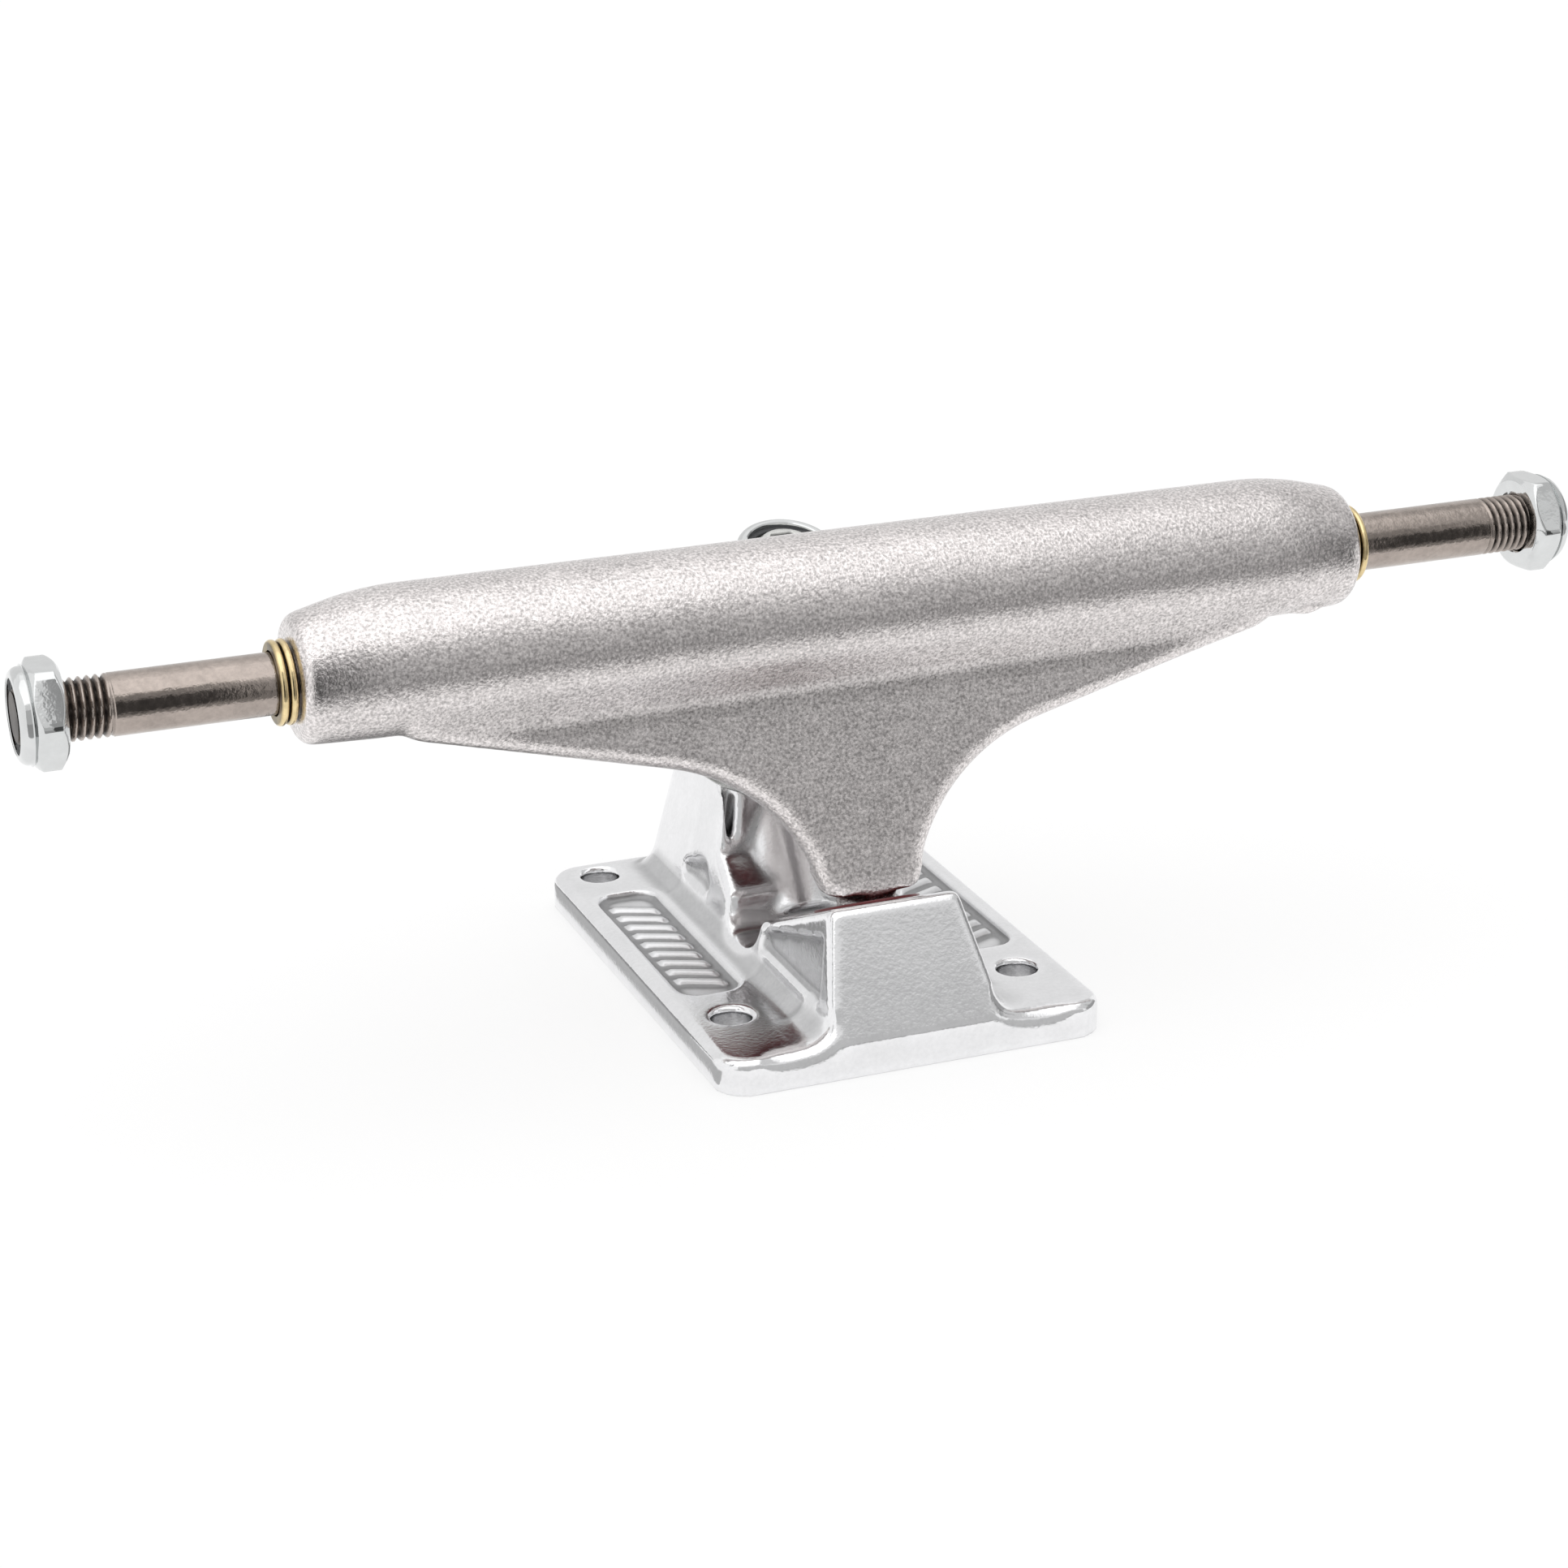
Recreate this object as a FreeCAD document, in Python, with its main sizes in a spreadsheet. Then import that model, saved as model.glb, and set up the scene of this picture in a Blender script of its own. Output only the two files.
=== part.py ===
"""Skateboard truck: baseplate, kingpin with its bushings, hanger with its axle, nuts and washers.

Millimetres. X runs along the axle, -Y is the pivot side, +Y the kingpin side, +Z points from the
deck to the axle. The origin is the centre of the baseplate's mounting face.
"""
import FreeCAD, Part
import math
import os
import re
import Sketcher

# Every driving size of the truck. Names ending in lean are angles in degrees, and names ending
# in share are proportions. Y and Z places are measured from the origin.
PLATE_SIZES = {
    "plate_side_margin": 6.56,
    "plate_front_margin": 14.91,
    "plate_back_margin": 5.21,
    "plate_thickness": 4.8,
    "plate_corner_radius": 4.5,
    "plate_edge_round": 1.3,
    "bolt_hole_radius": 2.7,
    "bolt_hole_chamfer": 0.35,
    "bolt_half_spacing_x": 20.64,
    "bolt_half_spacing_y": 26.99,
    "panel_near_x": 15.6,
    "panel_far_x": 24.4,
    "panel_half_length": 19.0,
    "panel_corner_radius": 3.2,
    "panel_depth": 1.0,
    "bar_margin": 1.5,
    "bar_width": 1.3,
    "bar_slant": 2.6,
    "bar_spacing": 3.4,
    "bar_height": 0.7,
    "bar_count": 9,
}

SPINE_SIZES = {
    "spine_root": 2.0,
    "spine_front_z": 4.8,
    "spine_half_width": 12.5,
    "spine_side_lean": 12.4,
    "spine_foot_radius": 3.1,
    "pivot_edge_y": -33.5,
    "pivot_edge_z": 20.4,
    "pivot_edge_round": 1.2,
    "pivot_face_end_y": -14.3,
    "pivot_face_lean": 24.9,
    "valley_front_y": -12.6,
    "valley_back_y": -1.6,
    "valley_floor_z": 6.0,
    "valley_radius": 4.4,
    "block_step_z": 10.6,
    "block_shelf_y": 5.1,
    "block_shelf_z": 14.4,
    "block_back_reach": 13.4,
    "block_front_reach": 8.2,
    "block_back_foot_y": 30.7,
    "block_back_round": 3.0,
    "block_edge_round": 1.0,
    "boss_axis_y": 3.4,
    "boss_axis_lean": 24.0,
    "boss_foot_radius": 8.4,
    "boss_top_radius": 4.6,
    "boss_height": 16.0,
    "slot_inner_x": 6.5,
    "slot_outer_x": 8.6,
    "slot_foot_z": 12.0,
    "slot_reach": 10.5,
    "window_depth": 0.9,
    "window_low_z": 8.2,
    "window_round": 0.8,
    "pivot_window_front_y": -35.4,
    "pivot_window_peak_y": -32.8,
    "pivot_window_peak_z": 16.4,
    "pivot_window_back_y": -14.4,
    "pivot_window_back_z": 10.6,
    "block_window_front_y": 4.8,
    "block_window_peak_y": 9.4,
    "block_window_peak_z": 11.9,
    "block_window_back_y": 19.5,
}

KINGPIN_SIZES = {
    "kingpin_lean": 18.0,
    "seat_y": 14.55,
    "seat_z": 25.1,
    "kingpin_radius": 4.76,
    "kingpin_hole_gap": 0.12,
    "kingpin_grip": 19.4,
    "head_flats": 14.3,
    "head_height": 4.4,
    "head_pocket_gap": 0.15,
    "kingpin_end_chamfer": 0.5,
    "kingpin_end_stand": 0.3,
    "socket_flats": 4.76,
    "socket_depth": 3.0,
    "kingpin_thread_length": 13.0,
    "thread_pitch": 1.058,
    "thread_depth": 0.55,
    "bottom_washer_radius": 11.2,
    "bottom_washer_thickness": 1.2,
    "bottom_washer_rim": 2.2,
    "top_washer_radius": 10.4,
    "top_washer_thickness": 1.3,
    "top_washer_rim": 1.8,
    "washer_hole_gap": 0.2,
    "rim_gap": 0.15,
    "bushing_gap": 0.05,
    "bushing_bore_gap": 0.25,
    "bottom_bushing_radius": 10.6,
    "bottom_bushing_height": 10.2,
    "bottom_bushing_neck": 0.8,
    "top_bushing_height": 7.8,
    "top_bushing_end_radius": 8.2,
    "bushing_round": 0.8,
    "nut_flats": 14.3,
    "nut_hex_height": 7.3,
    "nut_collar_height": 3.0,
    "nut_collar_radius": 6.9,
    "nut_collar_round": 0.9,
    "nut_chamfer": 1.0,
    "nut_thread_gap": 0.03,
    "nut_lip_radius": 5.5,
    "nut_lip_thickness": 0.7,
    "nut_insert_radius": 6.1,
    "nut_insert_height": 2.2,
    "insert_gap": 0.02,
}

PIVOT_SIZES = {
    "cup_axis_y": -24.0,
    "cup_radius": 6.5,
    "cup_fit_gap": 0.03,
    "cup_depth": 10.6,
    "cup_lip_height": 0.4,
    "cup_lip_radius": 7.1,
    "cup_entry": 0.5,
    "ball_radius": 4.2,
    "ball_gap": 0.3,
    "ball_depth": 4.5,
    "stem_radius": 4.0,
    "nose_length": 10.0,
}

HANGER_SIZES = {
    "axle_y": -15.2,
    "axle_z": 54.6,
    "tube_radius": 9.6,
    "tube_rise": 1.1,
    "tube_half_length": 64.0,
    "tube_taper_length": 9.9,
    "tube_end_radius": 8.2,
    "tube_end_round": 1.8,
    "tube_shoulder_round": 40.0,
    "face_y": -27.5,
    "face_z": 19.5,
    "face_lean": 14.04,
    "face_thickness": 4.6,
    "wing_tip_inset": 3.5,
    "wing_tip_z": 46.6,
    "wing_tip_radius": 5.0,
    "wing_end_reach": 0.5,
    "wing_end_z": 53.0,
    "wing_bend_x": 12.2,
    "wing_bend_z": 35.0,
    "wing_bend_radius": 26.0,
    "wing_neck_x": 6.4,
    "wing_neck_z": 18.8,
    "wing_rim_round": 2.0,
    "face_blend_angle": 30.0,
    "face_blend_radius": 3.5,
    "rib_half_width": 5.0,
    "rib_under_y": -20.4,
    "rib_under_z": 17.9,
    "rib_face_inset": 0.6,
    "rib_tube_sink": 2.0,
    "gusset_nose_half_width": 4.8,
    "gusset_nose_reach": 33.0,
    "gusset_ring_reach": 6.0,
    "gusset_half_height": 3.2,
    "ring_radius": 13.9,
    "ring_wall": 3.0,
    "ring_height": 10.0,
    "ring_recess": 3.0,
    "ring_bore_radius": 6.6,
    "ring_round": 0.8,
    "overrun": 1.0,
}

AXLE_SIZES = {
    "axle_radius": 3.97,
    "axle_core_radius": 4.1,
    "axle_core_inset": 0.5,
    "journal_length": 22.5,
    "axle_thread_length": 11.8,
    "axle_seat_gap": 0.02,
    "axle_end_chamfer": 0.6,
    "axle_thread_relief": 0.35,
    "speed_washer_thickness": 1.0,
    "speed_washer_radius": 5.45,
    "speed_washer_hole_gap": 0.18,
    "speed_washer_gap": 0.2,
    "speed_washer_round": 0.25,
    "axle_nut_inset": 5.7,
    "axle_nut_flats": 12.7,
    "axle_nut_hex_height": 4.2,
    "axle_nut_collar_height": 1.6,
    "axle_nut_collar_radius": 6.1,
    "axle_nut_collar_round": 0.8,
    "axle_nut_chamfer": 1.2,
    "axle_nut_lip_radius": 4.6,
    "axle_nut_lip_thickness": 0.5,
    "axle_nut_insert_radius": 5.2,
    "axle_nut_insert_height": 1.5,
}

SIZES = {}
for group in (PLATE_SIZES, SPINE_SIZES, KINGPIN_SIZES, PIVOT_SIZES, HANGER_SIZES, AXLE_SIZES):
    SIZES.update(group)

document = FreeCAD.newDocument("SkateboardTruck")
sheet = document.addObject("Spreadsheet::Sheet", "Sizes")
for row, (name, number) in enumerate(SIZES.items(), start=1):
    sheet.set("A%d" % row, name)
    sheet.set("B%d" % row, str(number))
    sheet.setAlias("B%d" % row, name)
document.recompute()


# Formulas

def formula(text):
    """The formula with each named size read from the sheet."""
    return re.sub(r"[a-z_]+", lambda word: "Sizes." + word.group()
                  if word.group() in SIZES else word.group(), text)


def value(text):
    """What a formula comes to now."""
    result = sheet.evalExpression(formula(text))
    return float(getattr(result, "Value", result))


def bind(item, path, text):
    """Tie one property of an object to a formula."""
    item.setExpression(path, formula(text))


# Derived places, written as formulas of the sizes

PLATE_SIDE = "(bolt_half_spacing_x + plate_side_margin)"
PLATE_FRONT = "(bolt_half_spacing_y + plate_front_margin)"
PLATE_BACK = "(bolt_half_spacing_y + plate_back_margin)"
KINGPIN_END = ("(bottom_washer_thickness + bottom_bushing_height + ring_height - 2 * ring_recess"
               " + 2 * bushing_gap + top_bushing_height + top_washer_thickness"
               " + nut_hex_height + nut_collar_height + kingpin_end_stand)")
RING_FLOOR = "(bottom_washer_thickness + bottom_bushing_height + bushing_gap)"
RING_BASE = "(%s - ring_recess)" % RING_FLOOR
TOP_BUSHING_BASE = "(%s + ring_height - 2 * ring_recess + bushing_gap)" % RING_FLOOR
TOP_WASHER_BASE = "(%s + top_bushing_height)" % TOP_BUSHING_BASE
NUT_BASE = "(%s + top_washer_thickness)" % TOP_WASHER_BASE
PIVOT_FACE_FALL = "tan(pivot_face_lean)"
CUP_AXIS_Z = "(pivot_edge_z - (cup_axis_y - pivot_edge_y) * %s)" % PIVOT_FACE_FALL
TUBE_Z = "(axle_z + tube_rise)"
HANGER_END = "(tube_half_length + tube_taper_length)"
WING_TIP_X = "(tube_half_length - wing_tip_inset)"
WING_END_X = "(tube_half_length + wing_end_reach)"
CORE_END = "(%s - axle_core_inset)" % HANGER_END
JOURNAL_END = "(%s + journal_length)" % HANGER_END
AXLE_END = "(%s + axle_thread_length)" % JOURNAL_END


# Sketches and features

def plane_of(body, role):
    """One of the origin planes or axes of a body."""
    return [item for item in body.Origin.OriginFeatures if item.Role == role][0]


def new_body(name):
    body = document.addObject("PartDesign::Body", name)
    body.Label = name
    return body


def new_sketch(body, name, role, offset=("0", "0", "0"), turn=None):
    """A sketch on an origin plane, moved by offset and turned about an axis by a positive angle."""
    sketch = body.newObject("Sketcher::SketchObject", name)
    sketch.AttachmentSupport = (plane_of(body, role), [""])
    sketch.MapMode = "FlatFace"
    if turn:
        axis, angle = turn
        rotation = FreeCAD.Rotation(axis, value(angle))
        sketch.AttachmentOffset = FreeCAD.Placement(FreeCAD.Vector(), rotation)
        bind(sketch, "AttachmentOffset.Rotation.Angle", angle)
    for direction, place in zip("xyz", offset):
        if place != "0":
            bind(sketch, "AttachmentOffset.Base." + direction, place)
    return sketch


def set_distance(sketch, kind, geometry, point, text):
    """Hold one coordinate of a sketch point at a formula."""
    number = sketch.addConstraint(Sketcher.Constraint(kind, geometry, point, value(text)))
    if text != "0":
        bind(sketch, "Constraints[%d]" % number, text)


def pin_point(sketch, geometry, point, corner):
    set_distance(sketch, "DistanceX", geometry, point, corner[0])
    set_distance(sketch, "DistanceY", geometry, point, corner[1])


def corner_arc(before, corner, after, radius):
    """Arc that rounds a corner: where it starts, where it ends, its centre, and if it turns left."""
    back = (before - corner).normalize()
    ahead = (after - corner).normalize()
    half = back.getAngle(ahead) / 2
    reach = radius / math.tan(half)
    centre = corner + (back + ahead).normalize() * (radius / math.sin(half))
    turns_left = back.cross(ahead).z < 0
    return corner + back * reach, corner + ahead * reach, centre, turns_left


def add_outline(sketch, corners):
    """Closed outline through corners (x, y) or (x, y, radius), all given as formulas."""
    spots = [FreeCAD.Vector(value(corner[0]), value(corner[1]), 0) for corner in corners]
    total = len(corners)
    arcs = []
    for index, corner in enumerate(corners):
        if len(corner) == 3:
            around = (spots[index - 1], spots[index], spots[(index + 1) % total])
            arcs.append(corner_arc(*around, value(corner[2])))
        else:
            arcs.append(None)
    lines = []
    for index in range(total):
        following = (index + 1) % total
        start = arcs[index][1] if arcs[index] else spots[index]
        end = arcs[following][0] if arcs[following] else spots[following]
        lines.append(sketch.addGeometry(Part.LineSegment(start, end), False))
    for index, corner in enumerate(corners):
        line_in, line_out = lines[index - 1], lines[index]
        if not arcs[index]:
            sketch.addConstraint(Sketcher.Constraint("Coincident", line_in, 2, line_out, 1))
            pin_point(sketch, line_out, 1, corner)
            continue
        start, end, centre, turns_left = arcs[index]
        first, last = (start, end) if turns_left else (end, start)
        angles = [math.atan2(spot.y - centre.y, spot.x - centre.x) for spot in (first, last)]
        if angles[1] < angles[0]:
            angles[1] += 2 * math.pi
        circle = Part.Circle(centre, FreeCAD.Vector(0, 0, 1), value(corner[2]))
        arc = sketch.addGeometry(Part.ArcOfCircle(circle, *angles), False)
        point = sketch.addGeometry(Part.Point(spots[index]), True)
        in_end, out_end = (1, 2) if turns_left else (2, 1)
        sketch.addConstraint(Sketcher.Constraint("Tangent", line_in, 2, arc, in_end))
        sketch.addConstraint(Sketcher.Constraint("Tangent", line_out, 1, arc, out_end))
        sketch.addConstraint(Sketcher.Constraint("PointOnObject", point, 1, line_in))
        sketch.addConstraint(Sketcher.Constraint("PointOnObject", point, 1, line_out))
        pin_point(sketch, point, 1, corner)
        rounding = sketch.addConstraint(Sketcher.Constraint("Radius", arc, value(corner[2])))
        bind(sketch, "Constraints[%d]" % rounding, corner[2])


def add_circle(sketch, centre, radius):
    spot = FreeCAD.Vector(value(centre[0]), value(centre[1]), 0)
    circle = sketch.addGeometry(Part.Circle(spot, FreeCAD.Vector(0, 0, 1), value(radius)), False)
    pin_point(sketch, circle, 3, centre)
    number = sketch.addConstraint(Sketcher.Constraint("Radius", circle, value(radius)))
    bind(sketch, "Constraints[%d]" % number, radius)


def add_hexagon(sketch, flats, first=30):
    """Hexagon about the sketch's origin, flat to flat, with its first corner at an angle."""
    corners = []
    for step in range(6):
        angle = 60 * step + first
        corners.append(("%s / 2 / cos(30) * cos(%d)" % (flats, angle),
                        "%s / 2 / cos(30) * sin(%d)" % (flats, angle)))
    add_outline(sketch, corners)


def mirrored_outline(corners):
    """The same corners on the other side of the sketch's vertical axis, in reverse order."""
    return [("-(%s)" % corner[0],) + tuple(corner[1:]) for corner in reversed(corners)]


def pad(body, name, sketch, length, midplane=False, reverse=False):
    feature = body.newObject("PartDesign::Pad", name)
    feature.Profile = sketch
    feature.Midplane = midplane
    feature.Reversed = reverse
    bind(feature, "Length", length)
    return feature


def pocket(body, name, sketch, length=None, midplane=False, reverse=False):
    """Cut a sketch's outline out of a body, to a depth or right through."""
    feature = body.newObject("PartDesign::Pocket", name)
    feature.Profile = sketch
    feature.Midplane = midplane
    feature.Reversed = reverse
    if length:
        bind(feature, "Length", length)
    else:
        feature.Type = "ThroughAll"
    return feature


def turned(body, kind, name, sketch, axis="V_Axis"):
    """A Revolution or Groove of a full turn about one of the sketch's own axes."""
    feature = body.newObject("PartDesign::" + kind, name)
    feature.Profile = sketch
    feature.ReferenceAxis = (sketch, [axis])
    feature.Angle = 360
    return feature


def edges_where(feature, wanted):
    """Names of the edges of a feature for which a test holds."""
    return ["Edge%d" % number for number, edge in enumerate(feature.Shape.Edges, start=1)
            if wanted(edge)]


def rounded(body, name, feature, wanted, radius, kind="Fillet"):
    """Fillet or chamfer the edges of a feature for which a test holds."""
    document.recompute()
    names = edges_where(feature, wanted)
    if not names:
        raise RuntimeError(name + " finds no edge")
    result = body.newObject("PartDesign::" + kind, name)
    result.Base = (feature, names)
    bind(result, "Radius" if kind == "Fillet" else "Size", radius)
    document.recompute()
    return result


def linear_pattern(body, name, feature, axis, spacing, count):
    """Copies of a feature in a row; the pattern becomes the body's tip."""
    pattern = body.newObject("PartDesign::LinearPattern", name)
    pattern.Originals = [feature]
    pattern.Direction = (plane_of(body, axis), [""])
    pattern.Mode = "Spacing"
    bind(pattern, "Offset", spacing)
    bind(pattern, "Occurrences", count)
    body.Tip = pattern
    return pattern


def mirrored(body, name, features, role):
    pattern = body.newObject("PartDesign::Mirrored", name)
    pattern.Originals = features
    pattern.MirrorPlane = (plane_of(body, role), [""])
    body.Tip = pattern
    return pattern


def place_on_kingpin(body):
    """Stand a body's own Z axis on the kingpin axis, with its origin at the bushing seat."""
    body.Placement = FreeCAD.Placement(FreeCAD.Vector(), FreeCAD.Rotation(X_AXIS, 1))
    bind(body, "Placement.Rotation.Angle", "kingpin_lean")
    bind(body, "Placement.Base.y", "seat_y")
    bind(body, "Placement.Base.z", "seat_z")


def place_on_axle(body, side, distance="0"):
    """Lay a body's own Z axis along the axle, pointing away from the truck's middle."""
    body.Placement = FreeCAD.Placement(FreeCAD.Vector(), FreeCAD.Rotation(Y_AXIS, side * 90))
    if distance != "0":
        bind(body, "Placement.Base.x", "%d * (%s)" % (side, distance))
    bind(body, "Placement.Base.y", "axle_y")
    bind(body, "Placement.Base.z", "axle_z")


X_AXIS = FreeCAD.Vector(1, 0, 0)
Y_AXIS = FreeCAD.Vector(0, 1, 0)
Z_AXIS = FreeCAD.Vector(0, 0, 1)
KINGPIN_TURN = (Z_AXIS, "kingpin_lean")
PIVOT_TURN = (-Z_AXIS, "pivot_face_lean")
SIDES = {"left": -1, "right": 1}
TOLERANCE = 1e-3


def kingpin_point(reach, height):
    """Place (y, z) at a reach towards +Y from the kingpin axis and a height up it from the seat."""
    return ("seat_y + (%s) * cos(kingpin_lean) - (%s) * sin(kingpin_lean)" % (reach, height),
            "seat_z + (%s) * sin(kingpin_lean) + (%s) * cos(kingpin_lean)" % (reach, height))


# Baseplate

def spine_half_width(height):
    """Half the width of the spine at a height, from its draft."""
    return "(spine_half_width - (%s - plate_thickness) * tan(spine_side_lean))" % height


def pivot_face_z(place):
    """Height of the pivot block's sloping top at a place along Y."""
    return "pivot_edge_z - ((%s) - pivot_edge_y) * %s" % (place, PIVOT_FACE_FALL)


def make_plate(body):
    """Rectangular mounting plate with rounded corners and a soft upper edge."""
    sketch = new_sketch(body, "PlateOutline", "XY_Plane")
    add_outline(sketch, [(x + PLATE_SIDE, y, "plate_corner_radius") for x, y in (
        ("-", "-" + PLATE_FRONT), ("", "-" + PLATE_FRONT), ("", PLATE_BACK), ("-", PLATE_BACK))])
    plate = pad(body, "Plate", sketch, "plate_thickness")
    document.recompute()
    top = value("plate_thickness")
    return rounded(body, "PlateEdge", plate,
                   lambda edge: abs(edge.BoundBox.ZMin - top) < TOLERANCE, "plate_edge_round")


def make_spine(body):
    """Pivot block, valley and kingpin block: one side outline, with drafted flanks."""
    sketch = new_sketch(body, "SpineSide", "YZ_Plane")
    add_outline(sketch, [
        ("-" + PLATE_FRONT, "spine_root"),
        ("block_back_foot_y", "spine_root"),
        ("block_back_foot_y", "plate_thickness"),
        kingpin_point("block_back_reach", "0"),
        kingpin_point("-block_front_reach", "0"),
        ("block_shelf_y", "block_shelf_z"),
        ("valley_back_y", "block_step_z"),
        ("valley_back_y", "valley_floor_z", "valley_radius"),
        ("valley_front_y", "valley_floor_z", "valley_radius"),
        ("valley_front_y", pivot_face_z("pivot_face_end_y")),
        ("pivot_face_end_y", pivot_face_z("pivot_face_end_y")),
        ("pivot_edge_y", "pivot_edge_z", "pivot_edge_round"),
        ("-" + PLATE_FRONT, "spine_front_z"),
    ])
    pad(body, "SpineBlank", sketch, "2 * (spine_half_width + spine_foot_radius)", midplane=True)
    flanks = new_sketch(body, "SpineFlanks", "XZ_Plane")
    top = "(seat_z + block_back_reach)"
    side = [
        (PLATE_SIDE, "plate_thickness"),
        (PLATE_SIDE, top),
        (spine_half_width(top), top),
        (spine_half_width("plate_thickness"), "plate_thickness", "spine_foot_radius"),
    ]
    add_outline(flanks, side)
    add_outline(flanks, mirrored_outline(side))
    blank = pocket(body, "Flanks", flanks, midplane=True)
    back = rounded(body, "BackCorners", blank, is_back_corner, "block_back_round")
    pivot = rounded(body, "PivotEdges", back, is_pivot_edge, "pivot_edge_round")
    return rounded(body, "BlockEdges", pivot, is_block_edge, "block_edge_round")


def is_back_corner(edge):
    """Edge between a flank and the sloping back of the kingpin block."""
    box = edge.BoundBox
    back = value(kingpin_point("block_back_reach", "0")[0])
    return (box.YMin > back - value("block_edge_round") and box.ZLength > value("block_back_round")
            and box.ZMax > value("seat_z"))


def is_pivot_edge(edge):
    """Edge of the pivot block's front face or top that runs along a flank."""
    box = edge.BoundBox
    along_front = box.YMax < value("pivot_edge_y + pivot_edge_round")
    above_foot = box.ZMax > value("plate_thickness + spine_foot_radius / 2")
    beside = box.XLength < value("spine_foot_radius + pivot_edge_round")
    rises = box.ZLength > value("pivot_edge_round") / 2
    along_top = (box.YMax < value("valley_front_y") + TOLERANCE
                 and box.YMin > value("pivot_edge_y") - value("pivot_edge_round")
                 and box.ZMin > value(pivot_face_z("pivot_face_end_y")) - TOLERANCE
                 and box.YLength > value("pivot_edge_round") / 2)
    return beside and (along_front and above_foot and rises or along_top)


def is_block_edge(edge):
    """Upper edge of the kingpin block that runs along Y."""
    box = edge.BoundBox
    return (box.YMin > value("valley_back_y") - TOLERANCE
            and box.ZMin > value("block_step_z") - TOLERANCE
            and box.YLength > value("block_edge_round"))


def make_boss(body):
    """Cone that swells out of the kingpin block's front, narrow end up."""
    sketch = new_sketch(body, "BossSection", "YZ_Plane", ("boss_axis_y", "plate_thickness", "0"),
                        (-Z_AXIS, "boss_axis_lean"))
    add_outline(sketch, [("0", "0"), ("boss_foot_radius", "0"),
                         ("boss_top_radius", "boss_height"), ("0", "boss_height")])
    return turned(body, "Revolution", "Boss", sketch)


def cut_slots(body):
    """Deep tapering slots that part the boss from the two cheeks of the kingpin block."""
    sketch = new_sketch(body, "SlotOutline", "XZ_Plane", ("0", "0", "-valley_back_y"))
    right = [("slot_inner_x", "seat_z"), ("slot_outer_x", "slot_foot_z"), ("slot_outer_x", "seat_z")]
    add_outline(sketch, right)
    add_outline(sketch, mirrored_outline(right))
    return pocket(body, "Slots", sketch, "slot_reach")


def cut_window(body, name, corners):
    """Shallow window in both flanks, its corners given as places (y, z)."""
    lean = "spine_side_lean"
    sketch = new_sketch(body, name + "Outline", "YZ_Plane",
                        ("0", "plate_thickness", "spine_half_width"), (-X_AXIS, lean))
    add_outline(sketch, [(y, "(%s - plate_thickness) / cos(%s)" % (z, lean), "window_round")
                         for y, z in corners])
    cut = pocket(body, name, sketch, "window_depth")
    document.recompute()
    return mirrored(body, name + "Pair", [cut], "YZ_Plane")


def cut_panels(body):
    """Shallow panels in the flanges, with plain slanted bars standing in them."""
    sketch = new_sketch(body, "PanelOutline", "XY_Plane", ("0", "0", "plate_thickness"))
    right = [
        ("panel_near_x", "-panel_half_length", "panel_corner_radius"),
        ("panel_far_x", "-panel_half_length", "panel_corner_radius"),
        ("panel_far_x", "panel_half_length", "panel_corner_radius"),
        ("panel_near_x", "panel_half_length", "panel_corner_radius"),
    ]
    add_outline(sketch, right)
    add_outline(sketch, mirrored_outline(right))
    pocket(body, "Panels", sketch, "panel_depth")
    bars = new_sketch(body, "BarOutline", "XY_Plane", ("0", "0", "plate_thickness - panel_depth"))
    low = "-(bar_count - 1) * bar_spacing / 2 - (bar_width + bar_slant) / 2"
    near = "panel_near_x + bar_margin"
    far = "panel_far_x - bar_margin"
    first_bar = [(near, low), (far, low + " + bar_slant"),
                 (far, low + " + bar_slant + bar_width"), (near, low + " + bar_width")]
    add_outline(bars, first_bar)
    bar = pad(body, "Bar", bars, "bar_height")
    document.recompute()
    row = linear_pattern(body, "BarRow", bar, "Y_Axis", "bar_spacing", "bar_count")
    document.recompute()
    other = new_sketch(body, "OtherBarOutline", "XY_Plane",
                       ("0", "0", "plate_thickness - panel_depth"))
    add_outline(other, mirrored_outline(first_bar))
    other_bar = pad(body, "OtherBar", other, "bar_height")
    document.recompute()
    return linear_pattern(body, "OtherBarRow", other_bar, "Y_Axis", "bar_spacing", "bar_count")


def cut_bolt_holes(body):
    sketch = new_sketch(body, "BoltHoleCircles", "XY_Plane")
    for x in ("-", ""):
        for y in ("-", ""):
            add_circle(sketch, (x + "bolt_half_spacing_x", y + "bolt_half_spacing_y"),
                       "bolt_hole_radius")
    holes = pocket(body, "BoltHoles", sketch, "plate_thickness + overrun", reverse=True)
    document.recompute()
    top, radius = value("plate_thickness"), value("bolt_hole_radius")
    return rounded(body, "BoltHoleRims", holes, lambda edge: is_circle(edge, radius)
                   and abs(edge.BoundBox.ZMax - top) < TOLERANCE, "bolt_hole_chamfer", "Chamfer")


def is_circle(edge, radius):
    """Whether an edge is a full flat circle of a radius, square to an axis."""
    box = edge.BoundBox
    spans = sorted((box.XLength, box.YLength, box.ZLength))
    return (spans[0] < TOLERANCE and abs(spans[1] - 2 * radius) < TOLERANCE
            and abs(spans[2] - 2 * radius) < TOLERANCE)


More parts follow.
